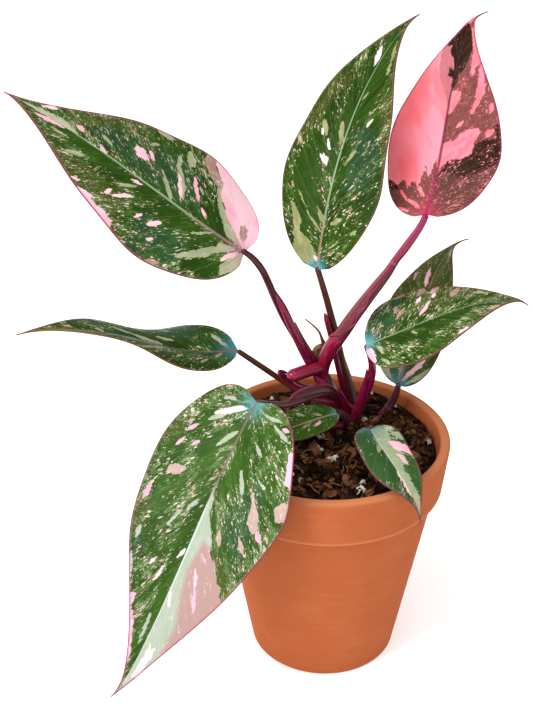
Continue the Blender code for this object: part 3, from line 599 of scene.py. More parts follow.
def addStrand(shape, strand, sides=26, stride=0.6):
    # a tube with rounded ends, marked with its share along, its flat edges, how far each part faces the light (for
    # its painted highlight and shade) and its place if it were straight
    for name in ("along", "edge", "lit"):
        shape.verts.layers.float.get(name) or shape.verts.layers.float.new(name)
    layers = [shape.verts.layers.float.get(name) for name in ("along", "edge", "lit")]
    straight = (shape.verts.layers.float_vector.get("straight")
                or shape.verts.layers.float_vector.new("straight"))
    line = smoothLine(strand["route"], stride)
    flat = strand.get("flat", 1.0)
    run = [0.0]
    frames = []
    for low, high in zip(line, line[1:]):
        run.append(run[-1] + (high - low).to_3d().length)
    for row in range(len(line)):
        ahead = (line[min(row + 1, len(line) - 1)] - line[max(row - 1, 0)]).to_3d().normalized()
        across = ahead.cross(Vector((0.05, -0.8, 0.6))).normalized()
        frames.append((across, across.cross(ahead)))
    made = bmesh.ops.create_grid(shape, x_segments=len(line) - 1, y_segments=sides, size=1.0)["verts"]
    for vert in made:
        row = round((vert.co.x + 1) / 2 * (len(line) - 1))
        angle = math.pi * vert.co.y
        across, out = frames[row]
        near = min(run[row], run[-1] - run[row]) / max(strand.get("blunt", 0.8) * line[row][3], 0.1)
        radius = line[row][3] * (math.sqrt(1 - (1 - near) ** 2) if near < 1 else 1.0)
        ring = sum(math.exp(-((run[row] - share * run[-1]) / 0.5) ** 2) for share in strand.get("rings", ()))
        ridge = noise.noise(Vector((math.sin(angle) * 1.9, math.cos(angle) * 1.9, run[row] / 20 + line[0][0])))
        radius *= 1 + strand.get("ribs", 0.0) * ridge + 0.07 * ring
        side = math.sin(angle)
        vert[layers[0]] = run[row] / run[-1]
        vert[layers[1]] = min(ease(0.8, 1.0, abs(side)) * (1 - flat) * 1.4 + 0.7 * ring, 1.0)
        vert[straight] = (side * line[row][3], math.cos(angle) * line[row][3], run[row] + 31 * line[0][1])
        # this light direction serves only the painted highlight and shade on the skin
        facing = (across * side * flat + out * math.cos(angle)).normalized()
        vert[layers[2]] = facing.dot(Vector((-0.55, -0.45, 0.70)))
        spot = line[row].to_3d() + (across * side + out * math.cos(angle) * flat) * radius
        vert.co = spot * mm


def pieceName(*words):
    # camelCase from words with underscores
    parts = "_".join(words).split("_")
    return parts[0] + "".join(part.title() for part in parts[1:])


def makeStalks():
    skins = {name: stalkSkin("Waxy plant skin, %s" % name, look) for name, look in stalkSkins.items()}
    bundles = [("%s_stalk" % name, strands, "petiole_skin", "petiole_" + name) for name, strands in stalks.items()]
    bundles += [("main_stem", stem, "stem_skin", "stem"), ("dry_sheath", drySheath, "dried_sheath", "dry_sheath")]
    for name, strands, slot, node in bundles:
        for skin in dict.fromkeys(strand["skin"] for strand in strands):
            shape = bmesh.new()
            for strand in strands:
                if strand["skin"] == skin:
                    addStrand(shape, strand)
            bmesh.ops.remove_doubles(shape, verts=shape.verts, dist=0.01 * mm)
            bmesh.ops.recalc_face_normals(shape, faces=shape.faces)
            addPiece(pieceName(name, skin), shape, [skins[skin]], slot, node)
    print("stalks:", len(stalks), "and the stem")


# Blades: satin leaves about a millimetre thick. Cells without green make the variegation, which runs
# outward along the side veins as sectors, patches, flecks and fine dust.

blade = dict(thickness=0.55, rowSpacing=1.1, columnSpacing=0.85, rowLean=0.6, tipHook=0.9, veinLean=0.65,
             veinGain=2.2, fanRadius=22.0, ribDepth=0.45, ribWidth=1.3, veinRelief=0.13, veinSpacing=8.0,
             notch=0.25, patchReach=4.0)


def midribFrames(leaf, steps=96):
    # places along the midrib, each with its forward, sideways and upward directions
    frames = []
    place = Vector(leaf["base"])
    stride = leaf["length"] / steps
    for step in range(steps + 1):
        share = step / steps
        turn = max(0.0, (share - blade["tipHook"]) / (1 - blade["tipHook"]))
        heading = math.radians(through(leaf["heading"], share) + leaf["hook"][0] * turn)
        rise = math.radians(through(leaf["rise"], share) + leaf["hook"][1] * turn)
        roll = math.radians(through(leaf["roll"], share))
        level = Vector((math.sin(heading), -math.cos(heading), 0))
        ahead = Vector((math.cos(heading), math.sin(heading), 0))
        forward = ahead * math.cos(rise) + Vector((0, 0, math.sin(rise)))
        above = level.cross(forward)
        sideways = level * math.cos(roll) + above * math.sin(roll)
        upward = above * math.cos(roll) - level * math.sin(roll)
        if frames:
            place = place + (forward + frames[-1][1]) * stride / 2
        frames.append((place, forward, sideways, upward))
    return frames


def bladeTip(leaf):
    return midribFrames(leaf)[-1][0]


def bladePoint(leaf, frames, x, y, side, relief):
    # the place of a flat point, x along the midrib and y out from it, on the bent blade
    position = min(max(x / leaf["length"], 0), 1) * (len(frames) - 1)
    index = min(int(position), len(frames) - 2)
    place, forward, sideways, upward = (
        low.lerp(high, position - index) for low, high in zip(frames[index], frames[index + 1]))
    half = leaf["halves"][side > 0]
    fold = math.radians(leaf["fold"][side > 0])
    camber = math.radians(leaf["camber"])
    out = y / half
    reach = (math.sin(fold) - math.sin(fold - camber * out)) / camber * half
    lift = (math.cos(fold - camber * out) - math.cos(fold)) / camber * half
    cycle = leaf["waves"] * x / leaf["length"] + leaf["phase"] + 0.25 * (side < 0)
    lift += leaf["wave"] * out * out * math.sin(math.tau * cycle) + relief
    return place + forward * min(x, 0) + sideways * side * reach + upward * lift


def bezier(first, second, third, last, share):
    rest = 1 - share
    return tuple(
        rest ** 3 * a + 3 * rest ** 2 * share * b + 3 * rest * share ** 2 * c + share ** 3 * d
        for a, b, c, d in zip(first, second, third, last))


def bladeMargin(leaf, side, rows):
    # one side's margin, from the notch at the stalk round the lobe to the tip, in even steps
    length, half, widest = leaf["length"], leaf["halves"][side > 0], leaf["widest"][side > 0]
    shoulder = (widest * length, half)
    lobe = ((0, 0), (-2.7 * leaf["lobe"] * half, 0.2 * half), ((widest - leaf["shoulder"]) * length, half), shoulder)
    sweep = (shoulder, ((widest + leaf["sweep"]) * length, half),
             (length * (1 - leaf["taper"][side > 0]), 0.06 * half), (length, 0))
    notch = blade["notch"]
    line = [bezier(*lobe, notch + (1 - notch) * step / 80) for step in range(80)]
    line += [bezier(*sweep, step / 200) for step in range(201)]
    run = [0.0]
    for low, high in zip(line, line[1:]):
        run.append(run[-1] + math.dist(low, high))
    margin = []
    index = 0
    for row in range(rows + 1):
        goal = run[-1] * row / rows
        while index < len(run) - 2 and run[index + 1] < goal:
            index += 1
        share = (goal - run[index]) / (run[index + 1] - run[index])
        margin.append(tuple(a + (b - a) * share for a, b in zip(line[index], line[index + 1])))
    return margin


def veinSpot(leaf, x, y):
    # where a point lies among the side veins: the vein's start along the midrib, and the way out along
    # it. The veins lean more toward the tip the further up they start, and fan out into the lobes
    start = (x - blade["veinLean"] * y) / (1 + leaf.get("veinGain", blade["veinGain"]) * y / leaf["length"])
    if start >= 0:
        return start, math.hypot(x - start, y)
    turn = math.atan2(blade["veinLean"] * y - x, y + blade["veinLean"] * x)
    return -turn * blade["fanRadius"], math.hypot(x, y)


def outlineDistance(spot, outline):
    # millimetres inside a closed outline, negative outside it
    best, inside = 1e9, False
    for (ax, ay), (bx, by) in zip(outline, outline[1:] + outline[:1]):
        ex, ey, px, py = bx - ax, by - ay, spot[0] - ax, spot[1] - ay
        share = min(max((px * ex + py * ey) / (ex * ex + ey * ey + 1e-9), 0), 1)
        best = min(best, math.hypot(px - ex * share, py - ey * share))
        if (ay > spot[1]) != (by > spot[1]) and spot[0] < ax + ex * (spot[1] - ay) / ey:
            inside = not inside
    return best if inside else -best


def streakDistance(spot, streak):
    # the same for a streak: its two ends and its half width, thinner toward both ends
    ax, ay, bx, by, wide = streak
    ex, ey, px, py = bx - ax, by - ay, spot[0] - ax, spot[1] - ay
    share = min(max((px * ex + py * ey) / (ex * ex + ey * ey), 0), 1)
    return wide * (0.85 - 0.6 * (2 * share - 1) ** 2) - math.hypot(px - ex * share, py - ey * share)


def patchDepth(x, y, patches):
    # how deep a flat point lies in the nearest patch, from 0 well outside through 0.5 on its edge to 1
    reach = blade["patchReach"]
    deepest = -reach
    for patch in patches:
        streak = isinstance(patch, tuple)
        ends = [patch[:2], patch[2:4]] if streak else patch
        outside = max(min(end[0] for end in ends) - x, x - max(end[0] for end in ends),
                      min(end[1] for end in ends) - y, y - max(end[1] for end in ends))
        if outside < reach:
            deepest = max(deepest, (streakDistance if streak else outlineDistance)((x, y), patch))
    return min(0.5 + deepest / reach / 2, 1)


def bladeShape(leaf, rows=None, columns=None):
    # a grid whose rows follow the side veins, laid on the bent blade and marked for its skin
    frames = midribFrames(leaf)
    rows = rows or round(1.2 * leaf["length"] / blade["rowSpacing"])
    columns = columns or 2 * round(sum(leaf["halves"]) / 2 / blade["columnSpacing"])
    margins = {side: bladeMargin(leaf, side, rows) for side in (-1, 1)}
    starts = [sum(max(0.0, x - blade["rowLean"] * y) for x, y in pair) / 2 for pair in zip(*margins.values())]
    shape = bmesh.new()
    bmesh.ops.create_grid(shape, x_segments=rows, y_segments=columns, size=1.0)
    veinMap = shape.loops.layers.uv.new("veins")
    layers = {name: shape.verts.layers.float.new(name) for name in patchKinds + ("rim", "rib", "base", "tip")}
    spots = {}
    for vert in shape.verts:
        row = round((vert.co.x + 1) / 2 * rows)
        share = min(abs(vert.co.y), 1.0)
        side = 1 if vert.co.y > 0 else -1
        marginX, marginY = margins[side][row]
        x = starts[row] + (marginX - starts[row]) * share
        y = marginY * share
        start, out = veinSpot(leaf, x, y)
        spots[vert] = (start, out * side)
        for kind in patchKinds:
            vert[layers[kind]] = patchDepth(x, y * side, leaf.get(kind, ()))
        rowLength = math.hypot(marginX - starts[row], marginY)
        vert[layers["rim"]] = (1 - share) * max(marginY, 0.5 * rowLength) / 10
        vert[layers["rib"]] = y / 10
        vert[layers["base"]] = math.exp(-(math.hypot(x, y) / leaf.get("baseReach", 7)) ** 2)
        vert[layers["tip"]] = x / leaf["length"]
        narrow = 1 - 0.7 * row / rows
        rib = -blade["ribDepth"] * narrow * math.exp(-(y / (blade["ribWidth"] * narrow)) ** 2)
        ripple = abs(math.sin(math.pi * start / blade["veinSpacing"])) - 0.6
        relief = blade["veinRelief"] * ripple * ease(0, 0.25, share) * ease(0, 0.2, 1 - share)
        vert.co = bladePoint(leaf, frames, x, y, side, rib + relief) * mm
    for face in shape.faces:
        for loop in face.loops:
            loop[veinMap].uv = Vector(spots[loop.vert]) * mm
    bmesh.ops.reverse_faces(shape, faces=shape.faces)
    bmesh.ops.remove_doubles(shape, verts=shape.verts, dist=0.02 * mm)
    return shape


def addThickness(piece):
    solid = piece.modifiers.new("thickness", "SOLIDIFY")
    solid.thickness = blade["thickness"] * mm
    solid.offset = 0.0
    solid.material_offset = 1


# The kinds of patch, each laid over the ones before it: then three soft ones that only shift the green, the last a
# painted sheen
patchKinds = ("pale", "pink", "mauve", "bright", "green", "calm", "warm", "cool")

# Millimetres across and along the side veins, and detail, of each scale of the variegation
leafGrain = dict(cloud=(16, 24, 2), tint=(5, 7, 1), cluster=(8, 12, 2), ragged=(1.7, 4.5, 4),
                 marble=(2.6, 7.0, 4), streak=(1.3, 5.0, 2), fleck=(0.85, 2.3, 1), dust=(0.45, 1.1, 1))


def leafSkin(name, look, seed, under=False):
    # cuticle over green cells and pale ones: satin, with a red rim
    palette = dict(look)
    if under:   # seen from below the blade is paler and duller, and its flecks only shine through
        for key in ("leafGreen", "leafDeep", "leafHalf", "sage", "cream", "pinkSkin", "pinkDeep", "mauveSkin"):
            palette[key] = toward(look[key], "#8a8f6c" if key.startswith("leaf") else "#a08a78", 0.45)
    material, tree, shader = newMaterial(name, 0.6 if under else look["roughness"], 1.12)
    if look["throughGlow"]:   # daylight glows red through the thin pink blade
        shader.inputs["Subsurface Weight"].default_value = look["throughGlow"]
        shader.inputs["Subsurface Radius"].default_value = (1.0, 0.45, 0.4)
        shader.inputs["Subsurface Scale"].default_value = 1.6 * mm
    veins = addNode(tree, "ShaderNodeUVMap", {"uv_map": "veins"}).outputs["UV"]
    grain = {}
    for index, (part, (across, along, detail)) in enumerate(leafGrain.items()):
        spread = addNode(tree, "ShaderNodeMapping", {}, {
            "Vector": veins, "Scale": (1 / (across * mm), 1 / (along * mm), 1),
            "Location": (seed * 7.3 + index * 3.1, seed * 5.9, seed * 1.7 + index)})
        grain[part] = addNode(tree, "ShaderNodeTexNoise", {}, {
            "Vector": spread.outputs[0], "Scale": 1.0, "Detail": detail, "Roughness": 0.62}).outputs["Fac"]
    marks = {part: addNode(tree, "ShaderNodeAttribute", {"attribute_name": part}).outputs["Fac"]
             for part in patchKinds + ("rim", "rib", "base", "tip")}
    masks = {}
    for part, low, high in (("calm", 0.35, 0.75), ("warm", 0.3, 0.8), ("cool", 0.3, 0.8)):
        masks[part] = addNode(tree, "ShaderNodeMapRange", {"interpolation_type": "SMOOTHSTEP"}, {
            "Value": marks[part], "From Min": low, "From Max": high}).outputs[0]

    # flecks gather in clusters, are rarer where the blade is calm and finer and closer near the margin
    density = addNode(tree, "ShaderNodeMath", {"operation": "MULTIPLY_ADD"}, {
        0: grain["cluster"], 1: 0.4, 2: look["flecks"] - 0.2 - (0.04 if under else 0.0)}).outputs[0]
    density = addNode(tree, "ShaderNodeMath", {"operation": "MULTIPLY_ADD"}, {
        0: masks["calm"], 1: -0.10, 2: density}).outputs[0]
    edge = addNode(tree, "ShaderNodeMapRange", {}, {
        "Value": marks["rim"], "From Min": 1.2, "From Max": 0.1, "To Max": look["edgeDust"]}).outputs[0]
    edge = addNode(tree, "ShaderNodeMath", {"operation": "MULTIPLY_ADD"}, {
        0: masks["warm"], 1: 0.06, 2: edge}).outputs[0]
    for part, low, high, extra in (("marble", 0.51, 0.60, None), ("streak", 0.655, 0.685, None),
                                   ("fleck", 0.665, 0.70, None), ("dust", 0.69, 0.74, edge)):
        value = addNode(tree, "ShaderNodeMath", {"operation": "ADD"}, {0: grain[part], 1: density}).outputs[0]
        if extra:
            value = addNode(tree, "ShaderNodeMath", {"operation": "ADD"}, {0: value, 1: extra}).outputs[0]
        masks[part] = addNode(tree, "ShaderNodeMapRange", {"interpolation_type": "SMOOTHSTEP"}, {
            "Value": value, "From Min": low, "From Max": high}).outputs[0]
    for part, low, high in (("cloud", 0.40, 0.60), ("tint", 0.46, 0.56), ("ragged", 0.42, 0.62)):
        masks[part] = addNode(tree, "ShaderNodeMapRange", {}, {
            "Value": grain[part], "From Min": low, "From Max": high}).outputs[0]
    for part in ("pale", "pink", "mauve", "bright", "green"):   # ragged along the veins
        value = addNode(tree, "ShaderNodeMath", {"operation": "MULTIPLY_ADD"}, {
            0: grain["ragged"], 1: 0.5, 2: marks[part]}).outputs[0]
        masks[part] = addNode(tree, "ShaderNodeMapRange", {"interpolation_type": "SMOOTHSTEP"}, {
            "Value": value, "From Min": 0.735, "From Max": 0.765}).outputs[0]

    # each skin as layers of (mask, colour, most) over its ground
    paleFleck = addNode(tree, "ShaderNodeMix", {"data_type": "RGBA"}, {
        0: masks["tint"], 6: colour(palette["cream"]), 7: colour(palette["pinkFleck"])}).outputs[2]
    # in the green skin the blue-green soft patches are a painted sheen, not leaf colour
    skins = dict(
        green=(palette["leafGreen"], [("cloud", palette["leafDeep"], 0.8), ("ragged", palette["leafDeep"], 0.5),
                                      ("marble", palette["leafHalf"], 0.6),
                                      ("warm", palette["warmSkin"], 0.3), ("cool", palette["paintedSheenSkin"], 0.4),
                                      ("streak", palette["sage"], look["streaks"]), ("dust", palette["sage"], 0.85),
                                      ("fleck", paleFleck, 0.9)]),
        pale=(palette["paleSkin"], [("tint", palette["sage"], 0.6), ("ragged", palette["sage"], 0.5),
                                    ("warm", palette["paleWarm"], 0.9), ("streak", palette["cream"], 0.5)]),
        pink=(palette["pinkSkin"], [("cloud", palette["pinkDeep"], 1.0)]),
        mauve=(palette["mauveSkin"], [("ragged", palette["mauveDeep"], 0.8), ("fleck", palette["pinkSkin"], 0.7),
                                      ("dust", palette["pinkFleck"], 0.4)]),
        bright=(palette["brightSkin"], [("tint", palette["pinkSkin"], 0.5)]))
    made = {}
    for part, (ground, layers) in skins.items():
        skin = colour(ground)
        for mask, code, most in layers:
            amount = addNode(tree, "ShaderNodeMath", {"operation": "MULTIPLY"}, {0: masks[mask], 1: most}).outputs[0]
            over = colour(code) if isinstance(code, str) else code
            skin = addNode(tree, "ShaderNodeMix", {"data_type": "RGBA"}, {0: amount, 6: skin, 7: over}).outputs[2]
        made[part] = skin
    skin = made[look["ground"]]
    for part in ("pale", "pink", "mauve", "bright", "green"):
        skin = addNode(tree, "ShaderNodeMix", {"data_type": "RGBA"}, {
            0: masks[part], 6: skin, 7: made[part]}).outputs[2]

    # side veins: narrow lines, with finer ones between
    turns = addNode(tree, "ShaderNodeSeparateXYZ", {}, {0: veins}).outputs[0]
    for spacing, width, most in ((blade["veinSpacing"], 0.10, 0.26), (blade["veinSpacing"] / 6, 0.35, 0.12)):
        wave = addNode(tree, "ShaderNodeMath", {"operation": "MULTIPLY"}, {0: turns, 1: math.pi / (spacing * mm)})
        wave = addNode(tree, "ShaderNodeMath", {"operation": "SINE"}, {0: wave.outputs[0]}).outputs[0]
        wave = addNode(tree, "ShaderNodeMath", {"operation": "ABSOLUTE"}, {0: wave}).outputs[0]
        line = addNode(tree, "ShaderNodeMapRange", {}, {
            "Value": wave, "From Min": width, "From Max": 0.0, "To Max": most}).outputs[0]
        skin = addNode(tree, "ShaderNodeMix", {"data_type": "RGBA"}, {
            0: line, 6: skin, 7: colour(palette["veinSkin"])}).outputs[2]
    # where the veins gather at the stalk a painted blue-green sheen, on some blades a red flush of their own colour
    # instead, and a brown tip
    part = addNode(tree, "ShaderNodeMath", {"operation": "MULTIPLY"}, {0: marks["base"], 1: look["flush"]}).outputs[0]
    skin = addNode(tree, "ShaderNodeMix", {"data_type": "RGBA"}, {
        0: part, 6: skin, 7: colour(look["flushAndSheenSkin"])}).outputs[2]
    part = addNode(tree, "ShaderNodeMapRange", {}, {
        "Value": marks["tip"], "From Min": 0.94, "From Max": 0.985, "To Max": 0.85}).outputs[0]
    skin = addNode(tree, "ShaderNodeMix", {"data_type": "RGBA"}, {0: part, 6: skin, 7: colour(look["tipSkin"])}).outputs[2]
    # the midrib, a round pale or red line that thins toward the tip
    width = addNode(tree, "ShaderNodeMapRange", {}, {
        "Value": marks["tip"], "To Min": look["ribWidth"], "To Max": 0.02}).outputs[0]
    inner = addNode(tree, "ShaderNodeMath", {"operation": "MULTIPLY"}, {0: width, 1: 0.45}).outputs[0]
    line = addNode(tree, "ShaderNodeMapRange", {"interpolation_type": "SMOOTHSTEP"}, {
        "Value": marks["rib"], "From Min": width, "From Max": inner, "To Max": 0.85}).outputs[0]
    ribTone = addNode(tree, "ShaderNodeMapRange", {}, {
        "Value": marks["tip"], "From Min": look["ribFade"][0], "From Max": look["ribFade"][1]}).outputs[0]
    ribSkin = addNode(tree, "ShaderNodeMix", {"data_type": "RGBA"}, {
        0: ribTone, 6: colour(look["ribRoot"]), 7: colour(look["ribEnd"])}).outputs[2]
    skin = addNode(tree, "ShaderNodeMix", {"data_type": "RGBA"}, {0: line, 6: skin, 7: ribSkin}).outputs[2]
    # the margin: a thin red line with a soft inner edge
    for inside, outside, code, most in ((0.12, 0.04, look["rimSkin"], 0.45), (0.055, 0.02, look["rimDeep"], 0.9)):
        line = addNode(tree, "ShaderNodeMapRange", {"interpolation_type": "SMOOTHSTEP"}, {
            "Value": marks["rim"], "From Min": inside, "From Max": outside, "To Max": most}).outputs[0]
        skin = addNode(tree, "ShaderNodeMix", {"data_type": "RGBA"}, {0: line, 6: skin, 7: colour(code)}).outputs[2]
    tree.links.new(skin, shader.inputs["Base Color"])
    bump = addNode(tree, "ShaderNodeBump", {}, {
        "Height": grain["ragged"], "Strength": 0.18, "Distance": 0.25 * mm})
    tree.links.new(bump.outputs[0], shader.inputs["Normal"])
    return material


commonLook = dict(
    ground="green", throughGlow=0.0,
    leafGreen="#2e4d0e", leafDeep="#1b3606", leafHalf="#4a6628", sage="#89966e", cream="#d6ccb5",
    pinkFleck="#e2aca6", paleSkin="#aaa58c", paleWarm="#bc9a90", pinkSkin="#f6c6d0", pinkDeep="#eea8ba",
    # the blue-green soft-patch colour on the next line is a painted sheen
    mauveSkin="#b1887e", mauveDeep="#847b60", brightSkin="#ecd3d0", warmSkin="#54421f", paintedSheenSkin="#264a38",
    veinSkin="#7f9268", flush=0.8,
    # the blue-green at the base of the blade is a painted sheen; a red one is the leaf's own flush
    flushAndSheenSkin="#4b9aa5", tipSkin="#6a4a38", ribRoot="#8a5a60", ribEnd="#7f9a7c", ribFade=(0.1, 0.4),
    ribWidth=0.12, rimSkin="#8c5046", rimDeep="#6a2238", flecks=0.0, edgeDust=0.05, streaks=0.75,
    roughness=0.36)

